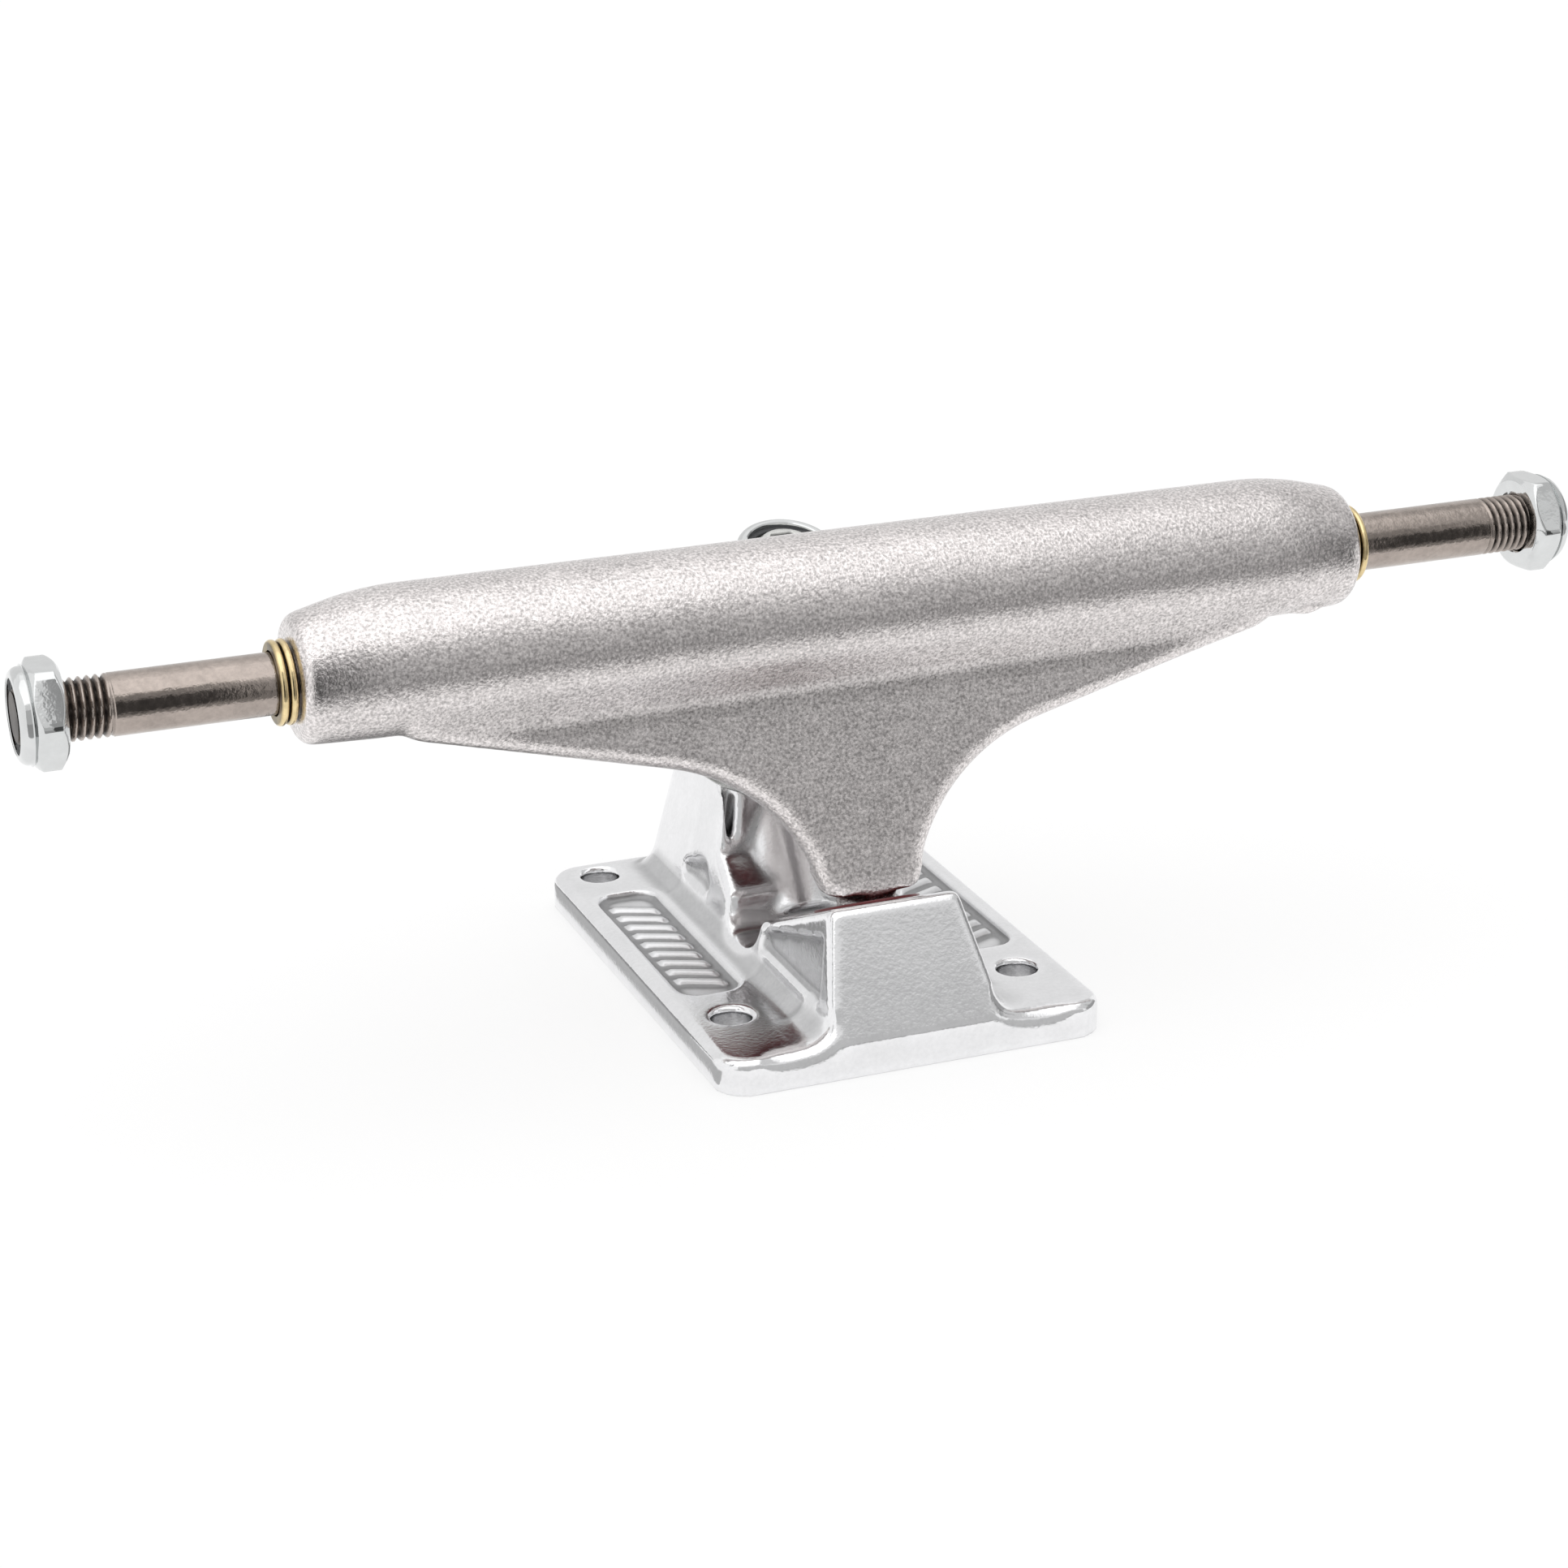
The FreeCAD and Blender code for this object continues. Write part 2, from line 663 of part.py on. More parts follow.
def bore_kingpin(body):
    """Kingpin hole, and the hexagonal pocket for its head, open through the mounting face."""
    sketch = new_sketch(body, "KingpinBoreSection", "YZ_Plane", ("seat_y", "seat_z", "0"),
                        KINGPIN_TURN)
    hole = "kingpin_radius + kingpin_hole_gap"
    add_outline(sketch, [("0", "overrun"), ("0", "-kingpin_grip - overrun"),
                         (hole, "-kingpin_grip - overrun"), (hole, "overrun")])
    turned(body, "Groove", "KingpinBore", sketch)
    y, z = kingpin_point("0", "-kingpin_grip")
    room = new_sketch(body, "HeadPocketOutline", "XY_Plane", ("0", y, z),
                      (X_AXIS, "kingpin_lean"))
    add_hexagon(room, "(head_flats + 2 * head_pocket_gap)", first=0)
    pocket(body, "HeadPocket", room, "seat_z + kingpin_grip")


def bore_pivot(body):
    """Blind round hole for the pivot cup, square to the pivot block's top."""
    sketch = new_sketch(body, "PivotBoreSection", "YZ_Plane", ("cup_axis_y", CUP_AXIS_Z, "0"),
                        PIVOT_TURN)
    bore = "cup_radius + cup_fit_gap"
    add_outline(sketch, [("0", "overrun"), ("0", "-cup_depth"), (bore, "-cup_depth"),
                         (bore, "overrun")])
    turned(body, "Groove", "PivotBore", sketch)


def make_baseplate():
    body = new_body("baseplate")
    make_plate(body)
    make_spine(body)
    make_boss(body)
    cut_slots(body)
    document.recompute()
    cut_window(body, "PivotWindow", [
        ("pivot_window_peak_y", "pivot_window_peak_z"),
        ("pivot_window_front_y", "window_low_z"),
        ("pivot_window_back_y", "window_low_z"),
        ("pivot_window_back_y", "pivot_window_back_z"),
    ])
    cut_window(body, "BlockWindow", [
        ("block_window_back_y", "window_low_z"),
        ("block_window_peak_y", "block_window_peak_z"),
        ("block_window_front_y", "window_low_z"),
    ])
    cut_panels(body)
    cut_bolt_holes(body)
    bore_kingpin(body)
    bore_pivot(body)
    document.recompute()
    return body


# Pivot cup

def make_pivot_cup():
    """Urethane cup in the pivot block; the hanger's ball end turns in it."""
    body = new_body("pivot_cup")
    body.Placement = FreeCAD.Placement(FreeCAD.Vector(), FreeCAD.Rotation(-X_AXIS, 1))
    bind(body, "Placement.Rotation.Angle", "pivot_face_lean")
    bind(body, "Placement.Base.y", "cup_axis_y")
    bind(body, "Placement.Base.z", CUP_AXIS_Z)
    sketch = new_sketch(body, "CupSection", "XZ_Plane")
    socket = "(ball_radius + ball_gap)"
    add_outline(sketch, [
        ("0", "-cup_depth + cup_fit_gap"),
        ("cup_radius", "-cup_depth + cup_fit_gap"),
        ("cup_radius", "0"),
        ("cup_lip_radius", "0"),
        ("cup_lip_radius", "cup_lip_height", "cup_lip_height / 2"),
        (socket + " + cup_entry", "cup_lip_height"),
        (socket, "-ball_depth / 2"),
        (socket, "-ball_depth - %s" % socket, "%s * 0.98" % socket),
        ("0", "-ball_depth - %s" % socket),
    ])
    turned(body, "Revolution", "Cup", sketch)
    document.recompute()
    return body


# Kingpin and what is stacked on it

def cut_thread(body, name, radius, start, length, pitch="thread_pitch"):
    """Ring grooves along a body's own Z axis that stand for a thread."""
    sketch = new_sketch(body, name + "Section", "XZ_Plane")
    add_outline(sketch, [
        ("%s + thread_depth" % radius, "%s - %s" % (start, pitch)),
        ("%s + thread_depth" % radius, "%s + %s" % (start, pitch)),
        ("%s - thread_depth" % radius, start),
    ])
    groove = turned(body, "Groove", name, sketch)
    document.recompute()
    count = "floor((%s) / %s)" % (length, pitch)
    return linear_pattern(body, name + "Row", groove, "Z_Axis", pitch, count)


def make_kingpin():
    """Hexagon-headed bolt, its head in the baseplate's pocket."""
    body = new_body("kingpin")
    place_on_kingpin(body)
    head = new_sketch(body, "HeadOutline", "XY_Plane", ("0", "0", "-kingpin_grip"))
    add_hexagon(head, "head_flats", first=0)
    pad(body, "Head", head, "head_height", reverse=True)
    sketch = new_sketch(body, "ShankSection", "XZ_Plane")
    add_outline(sketch, [
        ("0", "-kingpin_grip - head_height / 2"),
        ("kingpin_radius", "-kingpin_grip - head_height / 2"),
        ("kingpin_radius", "%s - kingpin_end_chamfer" % KINGPIN_END),
        ("kingpin_radius - kingpin_end_chamfer", KINGPIN_END),
        ("0", KINGPIN_END),
    ])
    turned(body, "Revolution", "Shank", sketch)
    socket = new_sketch(body, "SocketOutline", "XY_Plane", ("0", "0", KINGPIN_END))
    add_hexagon(socket, "socket_flats")
    pocket(body, "Socket", socket, "socket_depth")
    document.recompute()
    cut_thread(body, "KingpinThread", "kingpin_radius",
               "%s - kingpin_thread_length" % KINGPIN_END,
               "kingpin_thread_length - kingpin_end_chamfer - thread_pitch / 2")
    document.recompute()
    return body


def make_cup_washer(name, base, radius, thickness, rim, opens_up):
    """Dished washer whose rim keeps a bushing in place."""
    body = new_body(name)
    place_on_kingpin(body)
    sketch = new_sketch(body, "WasherSection", "XZ_Plane")
    hole = "kingpin_radius + washer_hole_gap"
    if opens_up:
        low, high, tip = base, "%s + %s" % (base, thickness), "%s + %s" % (base, rim)
    else:
        low, high = "%s + %s" % (base, thickness), base
        tip = "%s + %s - %s" % (base, thickness, rim)
    add_outline(sketch, [
        (hole, low),
        (radius, low, thickness + " / 2"),
        (radius, tip),
        ("%s - %s / 2" % (radius, thickness), tip),
        ("%s - %s / 2" % (radius, thickness), high),
        (hole, high),
    ])
    turned(body, "Revolution", "Washer", sketch)
    document.recompute()
    return body


def make_bottom_bushing():
    """Barrel bushing between the seat washer and the hanger's ring."""
    body = new_body("bottom_bushing")
    place_on_kingpin(body)
    sketch = new_sketch(body, "BushingSection", "XZ_Plane")
    bore = "kingpin_radius + bushing_bore_gap"
    seat = "(bottom_washer_radius - bottom_washer_thickness / 2 - rim_gap)"
    top = "bottom_washer_thickness + bottom_bushing_height"
    add_outline(sketch, [
        (bore, "bottom_washer_thickness"),
        (seat, "bottom_washer_thickness", "bushing_round"),
        (seat, "bottom_washer_rim + bushing_round"),
        ("bottom_bushing_radius", RING_BASE + " - bottom_bushing_neck"),
        ("bottom_bushing_radius", top, "bushing_round"),
        (bore, top),
    ])
    turned(body, "Revolution", "Barrel", sketch)
    document.recompute()
    return body


def make_top_bushing():
    """Cone bushing between the hanger's ring and the upper washer."""
    body = new_body("top_bushing")
    place_on_kingpin(body)
    sketch = new_sketch(body, "BushingSection", "XZ_Plane")
    bore = "kingpin_radius + bushing_bore_gap"
    top = "%s + top_bushing_height" % TOP_BUSHING_BASE
    add_outline(sketch, [
        (bore, TOP_BUSHING_BASE),
        ("bottom_bushing_radius", TOP_BUSHING_BASE, "bushing_round"),
        ("bottom_bushing_radius", "%s + ring_recess" % TOP_BUSHING_BASE),
        ("top_bushing_end_radius", top, "bushing_round"),
        (bore, top),
    ])
    turned(body, "Revolution", "Cone", sketch)
    document.recompute()
    return body


def make_lock_nut(name, words, place, base):
    """Hexagon nut with a round collar that holds a nylon ring; words names its sizes."""
    body = new_body(name)
    place(body)
    flats, hexagon, collar = words["flats"], words["hexagon"], words["collar"]
    hex_top = "%s + %s" % (base, hexagon)
    top = "%s + %s" % (hex_top, collar)
    outline = new_sketch(body, "HexOutline", "XY_Plane", ("0", "0", base))
    add_hexagon(outline, flats)
    pad(body, "Hex", outline, hexagon)
    corner = "%s / 2 / cos(30)" % flats
    for end, inward in ((hex_top, "-"), (base, "+")):
        bevel = new_sketch(body, "BevelSection", "XZ_Plane")
        add_outline(bevel, [
            ("%s - %s" % (corner, words["chamfer"]), end),
            ("%s + overrun" % corner, "%s %s (overrun + %s) / 2" % (end, inward, words["chamfer"])),
            ("%s + overrun" % corner, "%s %s -overrun" % (end, inward)),
        ])
        turned(body, "Groove", "Bevel", bevel)
    ring = new_sketch(body, "CollarSection", "XZ_Plane")
    bore = "%s + nut_thread_gap" % words["bolt"]
    add_outline(ring, [
        (bore, "%s - nut_thread_gap" % hex_top),
        (words["collar_radius"], "%s - nut_thread_gap" % hex_top),
        (words["collar_radius"], top, words["collar_round"]),
        (bore, top),
    ])
    turned(body, "Revolution", "Collar", ring)
    room = new_sketch(body, "BoreSection", "XZ_Plane")
    lip = "%s - %s" % (top, words["lip_thickness"])
    floor = "%s - %s" % (lip, words["insert_height"])
    add_outline(room, [
        ("0", "%s - overrun" % base),
        (bore, "%s - overrun" % base),
        (bore, floor),
        (words["insert_radius"], floor),
        (words["insert_radius"], lip),
        (words["lip_radius"], lip),
        (words["lip_radius"], "%s + overrun" % top),
        ("0", "%s + overrun" % top),
    ])
    turned(body, "Groove", "Bore", room)
    document.recompute()
    return body, floor, lip


def make_insert(name, words, place, floor, lip):
    """Nylon ring that grips the thread inside a lock nut's collar."""
    body = new_body(name)
    place(body)
    sketch = new_sketch(body, "InsertSection", "XZ_Plane")
    bore = "%s + nut_thread_gap" % words["bolt"]
    outer = "%s - insert_gap" % words["insert_radius"]
    add_outline(sketch, [(bore, floor + " + insert_gap"), (outer, floor + " + insert_gap"),
                         (outer, lip + " - insert_gap"), (bore, lip + " - insert_gap")])
    turned(body, "Revolution", "Insert", sketch)
    document.recompute()
    return body


def nut_words(prefix, bolt):
    """Names of the sizes of one kind of lock nut."""
    return {
        "bolt": bolt,
        "flats": prefix + "_flats",
        "hexagon": prefix + "_hex_height",
        "collar": prefix + "_collar_height",
        "collar_radius": prefix + "_collar_radius",
        "collar_round": prefix + "_collar_round",
        "chamfer": prefix + "_chamfer",
        "lip_radius": prefix + "_lip_radius",
        "lip_thickness": prefix + "_lip_thickness",
        "insert_radius": prefix + "_insert_radius",
        "insert_height": prefix + "_insert_height",
    }


def make_kingpin_stack():
    bodies = [
        make_kingpin(),
        make_cup_washer("bottom_cup_washer", "0", "bottom_washer_radius",
                        "bottom_washer_thickness", "bottom_washer_rim", True),
        make_bottom_bushing(),
        make_top_bushing(),
        make_cup_washer("top_cup_washer", TOP_WASHER_BASE, "top_washer_radius",
                        "top_washer_thickness", "top_washer_rim", False),
    ]
    words = nut_words("nut", "kingpin_radius")
    nut, floor, lip = make_lock_nut("kingpin_nut", words, place_on_kingpin, NUT_BASE)
    bodies += [nut, make_insert("kingpin_nut_insert", words, place_on_kingpin, floor, lip)]
    return bodies


# Hanger

def face_height(height):
    """Distance up the sloping front face for a height above the mounting face."""
    return "((%s) - face_z) / cos(face_lean)" % height


def make_tube(body):
    """Round body about the axle, fuller than its ends, which are concentric with the axle."""
    sketch = new_sketch(body, "TubeCircle", "YZ_Plane")
    add_circle(sketch, ("axle_y", TUBE_Z), "tube_radius")
    pad(body, "Tube", sketch, "2 * tube_half_length", midplane=True)
    for name, side in SIDES.items():
        full = new_sketch(body, "FullCircle" + name, "YZ_Plane",
                          ("0", "0", "%d * tube_half_length" % side))
        add_circle(full, ("axle_y", TUBE_Z), "tube_radius")
        end = new_sketch(body, "EndCircle" + name, "YZ_Plane",
                         ("0", "0", "%d * %s" % (side, HANGER_END)))
        add_circle(end, ("axle_y", "axle_z"), "tube_end_radius")
        taper = body.newObject("PartDesign::AdditiveLoft", "Taper" + name)
        taper.Profile = full
        taper.Sections = [end]
        taper.Ruled = True
    ends = rounded(body, "TubeEnds", taper, is_tube_end, "tube_end_round")
    return rounded(body, "TubeShoulders", ends, is_tube_shoulder, "tube_shoulder_round")


def is_tube_end(edge):
    return is_circle(edge, value("tube_end_radius"))


def is_tube_shoulder(edge):
    """Circle where the full tube meets a tapering end."""
    box = edge.BoundBox
    return box.XLength < TOLERANCE and abs(abs(box.XMin) - value("tube_half_length")) < TOLERANCE


def is_wing_rim(edge):
    """Front edge of a wing or of the neck: on or before the sloping face, and not level."""
    ahead = all(spot.y - value("face_y") - (spot.z - value("face_z")) * value("tan(face_lean)")
                < TOLERANCE for spot in edge.discretize(5))
    return ahead and edge.BoundBox.ZLength > TOLERANCE


def face_front(height):
    """Where the sloping front face lies, along Y, at a height."""
    return "(face_y + (%s - face_z) * tan(face_lean))" % height


def make_face(body):
    """Three-sided front web: straight wing edges that sweep down into the nose.

    Its front leaves the tube on a tangent and turns into the sloping face at a soft crease.
    """
    touch_y = "(axle_y - tube_radius * cos(face_blend_angle))"
    touch_z = "(%s - tube_radius * sin(face_blend_angle))" % TUBE_Z
    crease_z = ("((%s + %s * tan(face_blend_angle) - face_y + face_z * tan(face_lean))"
                " / (tan(face_lean) + tan(face_blend_angle)))" % (touch_y, touch_z))
    back = "face_thickness / cos(face_lean)"
    side = new_sketch(body, "FaceSide", "YZ_Plane")
    add_outline(side, [
        (face_front("wing_neck_z"), "wing_neck_z"),
        (face_front("wing_neck_z") + " + " + back, "wing_neck_z"),
        (face_front(crease_z) + " + " + back, crease_z),
        ("axle_y", touch_z),
        (touch_y, touch_z),
        (face_front(crease_z), crease_z, "face_blend_radius"),
    ])
    pad(body, "Face", side, "2 * " + WING_END_X, midplane=True)
    outside = new_sketch(body, "WingOutline", "XZ_Plane", ("0", "face_z", "-face_y"),
                         (-X_AXIS, "face_lean"))
    low = face_height("wing_neck_z - overrun")
    right = [
        ("wing_neck_x", low),
        (WING_END_X + " + overrun", low),
        (WING_END_X + " + overrun", face_height("wing_end_z")),
        (WING_END_X, face_height("wing_end_z")),
        (WING_TIP_X, face_height("wing_tip_z"), "wing_tip_radius"),
        ("wing_bend_x", face_height("wing_bend_z"), "wing_bend_radius"),
        ("wing_neck_x", face_height("wing_neck_z")),
    ]
    add_outline(outside, right)
    add_outline(outside, mirrored_outline(right))
    wings = pocket(body, "Wings", outside, midplane=True)
    return rounded(body, "WingRim", wings, is_wing_rim, "wing_rim_round")


def make_rib(body):
    """Solid web in the middle plane, from the nose up to the tube and back to the ring."""
    sketch = new_sketch(body, "RibSide", "YZ_Plane")
    wall = "ring_radius - ring_wall / 2"
    low = "face_y + rib_face_inset"
    add_outline(sketch, [
        (low, "wing_neck_z"),
        ("rib_under_y", "rib_under_z"),
        kingpin_point("-(%s)" % wall, RING_BASE + " + ring_recess / 2"),
        kingpin_point("-(%s)" % wall, RING_BASE + " + ring_height - ring_recess / 2"),
        ("axle_y + (tube_radius - rib_tube_sink) * cos(45)",
         TUBE_Z + " - (tube_radius - rib_tube_sink) * sin(45)"),
        ("axle_y", TUBE_Z),
        (low + " + (%s - wing_neck_z) * tan(face_lean)" % TUBE_Z, TUBE_Z),
    ])
    return pad(body, "Rib", sketch, "2 * rib_half_width", midplane=True)


def make_ring(body):
    """Ring that the two bushings clamp, with a recess for each."""
    sketch = new_sketch(body, "GussetPlan", "XY_Plane", ring_middle(), (X_AXIS, "kingpin_lean"))
    flare = "(ring_radius - ring_wall / 2)"
    add_outline(sketch, [
        ("-gusset_nose_half_width", "-gusset_nose_reach"),
        ("gusset_nose_half_width", "-gusset_nose_reach"),
        (flare, "-gusset_ring_reach"),
        ("-" + flare, "-gusset_ring_reach"),
    ])
    pad(body, "Gusset", sketch, "2 * gusset_half_height", midplane=True)
    blank = new_sketch(body, "RingSection", "YZ_Plane", ("seat_y", "seat_z", "0"), KINGPIN_TURN)
    add_outline(blank, [
        ("0", RING_BASE),
        ("ring_radius", RING_BASE, "ring_round"),
        ("ring_radius", RING_BASE + " + ring_height", "ring_round"),
        ("0", RING_BASE + " + ring_height"),
    ])
    turned(body, "Revolution", "Ring", blank)
    hollow = new_sketch(body, "RecessSection", "YZ_Plane", ("seat_y", "seat_z", "0"), KINGPIN_TURN)
    room = "ring_radius - ring_wall"
    add_outline(hollow, [
        ("0", RING_BASE + " - overrun"),
        (room, RING_BASE + " - overrun"),
        (room, RING_FLOOR),
        ("ring_bore_radius", RING_FLOOR),
        ("ring_bore_radius", RING_BASE + " + ring_height - ring_recess"),
        (room, RING_BASE + " + ring_height - ring_recess"),
        (room, RING_BASE + " + ring_height + overrun"),
        ("0", RING_BASE + " + ring_height + overrun"),
    ])
    turned(body, "Groove", "Recesses", hollow)


def ring_middle():
    """Centre of the ring as an offset from the origin."""
    y, z = kingpin_point("0", RING_BASE + " + ring_height / 2")
    return ("0", y, z)


def make_nose(body):
    """Stem and ball that stand in the pivot cup."""
    sketch = new_sketch(body, "NoseSection", "YZ_Plane", ("cup_axis_y", CUP_AXIS_Z, "0"),
                        PIVOT_TURN)
    add_outline(sketch, [
        ("0", "-ball_depth - ball_radius"),
        ("ball_radius", "-ball_depth - ball_radius", "ball_radius * 0.98"),
        ("ball_radius", "-ball_depth / 2"),
        ("stem_radius", "0"),
        ("stem_radius", "nose_length"),
        ("0", "nose_length"),
    ])
    turned(body, "Revolution", "Nose", sketch)


def make_hanger():
    body = new_body("hanger")
    make_face(body)
    make_tube(body)
    make_rib(body)
    make_ring(body)
    make_nose(body)
    bore = new_sketch(body, "AxleHole", "YZ_Plane")
    add_circle(bore, ("axle_y", "axle_z"), "axle_core_radius + axle_seat_gap")
    pocket(body, "AxleBore", bore, midplane=True)
    document.recompute()
    return body


# Axle with its washers and nuts

def make_axle():
    """Steel rod through the hanger, thicker inside it and threaded at both ends."""
    body = new_body("axle")
    place_on_axle(body, 1)
    sketch = new_sketch(body, "AxleSection", "XZ_Plane")
    thread = "axle_radius - axle_seat_gap"
    half = [
        (thread + " - axle_end_chamfer", AXLE_END),
        (thread, AXLE_END + " - axle_end_chamfer"),
        (thread, JOURNAL_END + " + 2 * axle_thread_relief"),
        ("axle_radius - axle_thread_relief", JOURNAL_END + " + axle_thread_relief"),
        ("axle_radius", JOURNAL_END),
        ("axle_radius", CORE_END),
        ("axle_core_radius", CORE_END),
    ]
    other = [(x, "-(%s)" % y) for x, y in reversed(half)]
    add_outline(sketch, [("0", AXLE_END)] + half + other + [("0", "-" + AXLE_END)])
    turned(body, "Revolution", "Rod", sketch)
    document.recompute()
    length = "(axle_thread_length - axle_end_chamfer)"
    first = JOURNAL_END + " + thread_pitch"
    last = "%s + thread_pitch * floor(%s / thread_pitch)" % (JOURNAL_END, length)
    for name, start in (("Right", first), ("Left", "-(%s)" % last)):
        cut_thread(body, name + "Thread", "axle_radius", start, length)
    document.recompute()
    return body


def make_speed_washer(name, side, place):
    """Thin washer between the hanger's end and a wheel bearing."""
    body = new_body(name)
    base = "%s + %s" % (HANGER_END, place)
    place_on_axle(body, side, base)
    sketch = new_sketch(body, "WasherSection", "XZ_Plane")
    bore = "axle_radius + speed_washer_hole_gap"
    add_outline(sketch, [
        (bore, "0"),
        ("speed_washer_radius", "0", "speed_washer_round"),
        ("speed_washer_radius", "speed_washer_thickness", "speed_washer_round"),
        (bore, "speed_washer_thickness"),
    ])
    turned(body, "Revolution", "Washer", sketch)
    document.recompute()
    return body


def make_axle_hardware():
    bodies = [make_axle()]
    words = nut_words("axle_nut", "axle_radius")
    for name, side in SIDES.items():
        inner = "speed_washer_gap"
        outer = "speed_washer_thickness + 2 * speed_washer_gap"
        bodies.append(make_speed_washer(name + "_inner_speed_washer", side, inner))
        bodies.append(make_speed_washer(name + "_outer_speed_washer", side, outer))

        def place(body, side=side):
            place_on_axle(body, side, AXLE_END + " - axle_nut_inset")

        nut, floor, lip = make_lock_nut(name + "_axle_nut", words, place, "0")
        bodies += [nut, make_insert(name + "_axle_nut_insert", words, place, floor, lip)]
    return bodies


# Build, check and write every sub-part

def check(bodies):
    """Stop if any object failed or any sub-part is empty or not one valid solid."""
    document.recompute()
    for item in document.Objects:
        if "Invalid" in item.State or "Error" in item.State:
            raise RuntimeError("%s failed: %s" % (item.Label, item.State))
    for body in bodies:
        shape = body.Shape
        if shape.isNull() or not shape.isValid() or len(shape.Solids) != 1:
            raise RuntimeError("%s is not one valid solid" % body.Label)


def write(bodies):
    os.makedirs("parts", exist_ok=True)
    for body in bodies:
        body.Shape.exportStep("parts/%s.step" % body.Label)
        box = body.Shape.BoundBox
        print("%-26s %9.1f mm3  x %7.2f %7.2f  y %7.2f %7.2f  z %7.2f %7.2f" % (
            body.Label, body.Shape.Volume, box.XMin, box.XMax, box.YMin, box.YMax,
            box.ZMin, box.ZMax))


truck = [make_baseplate(), make_pivot_cup()] + make_kingpin_stack() + [make_hanger()]
truck += make_axle_hardware()
check(truck)
write(truck)
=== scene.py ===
# %% [markdown]
# # A skateboard truck
# A truck is the metal axle assembly under a skateboard. A cast baseplate bolts to the deck, a
# cast hanger holds the axle, and the hanger leans on a pivot and on two soft bushings round a
# kingpin. The solids come ready from CAD. This lesson gives them the shapes and finishes that a
# camera sees: worn casting edges, real threads, rounded chamfers and a grain for each metal.

# %% Load the solids
import math

import bmesh
import bpy
import numpy as np
from mathutils import Matrix, Vector


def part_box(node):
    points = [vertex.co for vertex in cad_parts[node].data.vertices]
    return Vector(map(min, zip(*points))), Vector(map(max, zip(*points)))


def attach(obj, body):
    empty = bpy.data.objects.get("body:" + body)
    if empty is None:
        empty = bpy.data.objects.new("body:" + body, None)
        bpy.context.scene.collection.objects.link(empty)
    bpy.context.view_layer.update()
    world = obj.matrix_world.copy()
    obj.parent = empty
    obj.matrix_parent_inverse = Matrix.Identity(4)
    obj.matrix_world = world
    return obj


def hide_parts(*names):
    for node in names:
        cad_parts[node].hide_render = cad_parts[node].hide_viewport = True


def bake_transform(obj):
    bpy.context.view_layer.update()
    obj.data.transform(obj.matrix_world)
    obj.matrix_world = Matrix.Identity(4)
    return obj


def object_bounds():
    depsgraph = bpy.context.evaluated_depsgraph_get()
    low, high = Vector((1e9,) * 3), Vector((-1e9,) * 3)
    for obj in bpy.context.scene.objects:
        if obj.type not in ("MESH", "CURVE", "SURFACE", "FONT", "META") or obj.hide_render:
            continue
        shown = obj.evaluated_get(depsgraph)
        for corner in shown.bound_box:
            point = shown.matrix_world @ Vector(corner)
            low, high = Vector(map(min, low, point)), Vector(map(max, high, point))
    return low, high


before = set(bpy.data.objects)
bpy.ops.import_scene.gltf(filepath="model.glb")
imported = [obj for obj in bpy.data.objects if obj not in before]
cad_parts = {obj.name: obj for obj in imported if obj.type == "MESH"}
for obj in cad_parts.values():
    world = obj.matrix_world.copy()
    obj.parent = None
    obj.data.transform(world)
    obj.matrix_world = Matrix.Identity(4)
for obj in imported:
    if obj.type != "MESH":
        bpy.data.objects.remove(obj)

SOLID_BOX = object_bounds()
MM = 0.001
scene = bpy.context.scene
print("solids:", len(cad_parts), "box in mm:",
      [round(side / MM, 1) for side in SOLID_BOX[1] - SOLID_BOX[0]])


# %% [markdown]
# ## Finishes
# Every metal here is one Principled shader. What makes a casting look cast is small: a mottled
# tone, a grain that stands up a few hundredths of a millimetre, and edges that are rubbed
# smoother than the flats. These effects are node groups, built once and placed in each material
# with its own values. They read the piece's own coordinates in metres, so the grain has a true
# size.

# %% Small helpers for node trees
def add_node(tree, kind, **settings):
    made = tree.nodes.new("ShaderNode" + kind)
    for key, setting in settings.items():
        setattr(made, key, setting)
    return made


def feed(tree, target, source):
    """Link a socket, or write a plain number or colour, into a socket."""
    if isinstance(source, bpy.types.NodeSocket):
        tree.links.new(source, target)
    else:
        target.default_value = source


def sum_of(tree, operation, first, second):
    made = add_node(tree, "Math", operation=operation)
    feed(tree, made.inputs[0], first)
    feed(tree, made.inputs[1], second)
    return made.outputs[0]


def spread(tree, source, low, high, new_low, new_high):
    """Stretch the values between low and high to a new range, and clamp them there."""
    made = add_node(tree, "MapRange")
    for socket, number in zip(made.inputs, (source, low, high, new_low, new_high)):
        feed(tree, socket, number)
    return made.outputs[0]


def start_group(name, inputs, outputs):
    """A shader node group with named number sockets; returns its tree, inputs and outputs."""
    tree = bpy.data.node_groups.new(name, "ShaderNodeTree")
    for label, number in inputs.items():
        socket = tree.interface.new_socket(label, in_out="INPUT", socket_type="NodeSocketFloat")
        socket.default_value = number
    for label in outputs:
        tree.interface.new_socket(label, in_out="OUTPUT", socket_type="NodeSocketFloat")
    given = tree.nodes.new("NodeGroupInput")
    result = tree.nodes.new("NodeGroupOutput")
    return tree, given.outputs, result.inputs


# %% [markdown]
# ## Grain
# Seen close, a tumbled casting is a fine speckle of light and dark on larger, softer patches.
# Noise of two sizes makes both, and every metal and plastic here takes its own strength of each.
# An image of the surface would do too, but noise has no seams and needs no unwrapping.

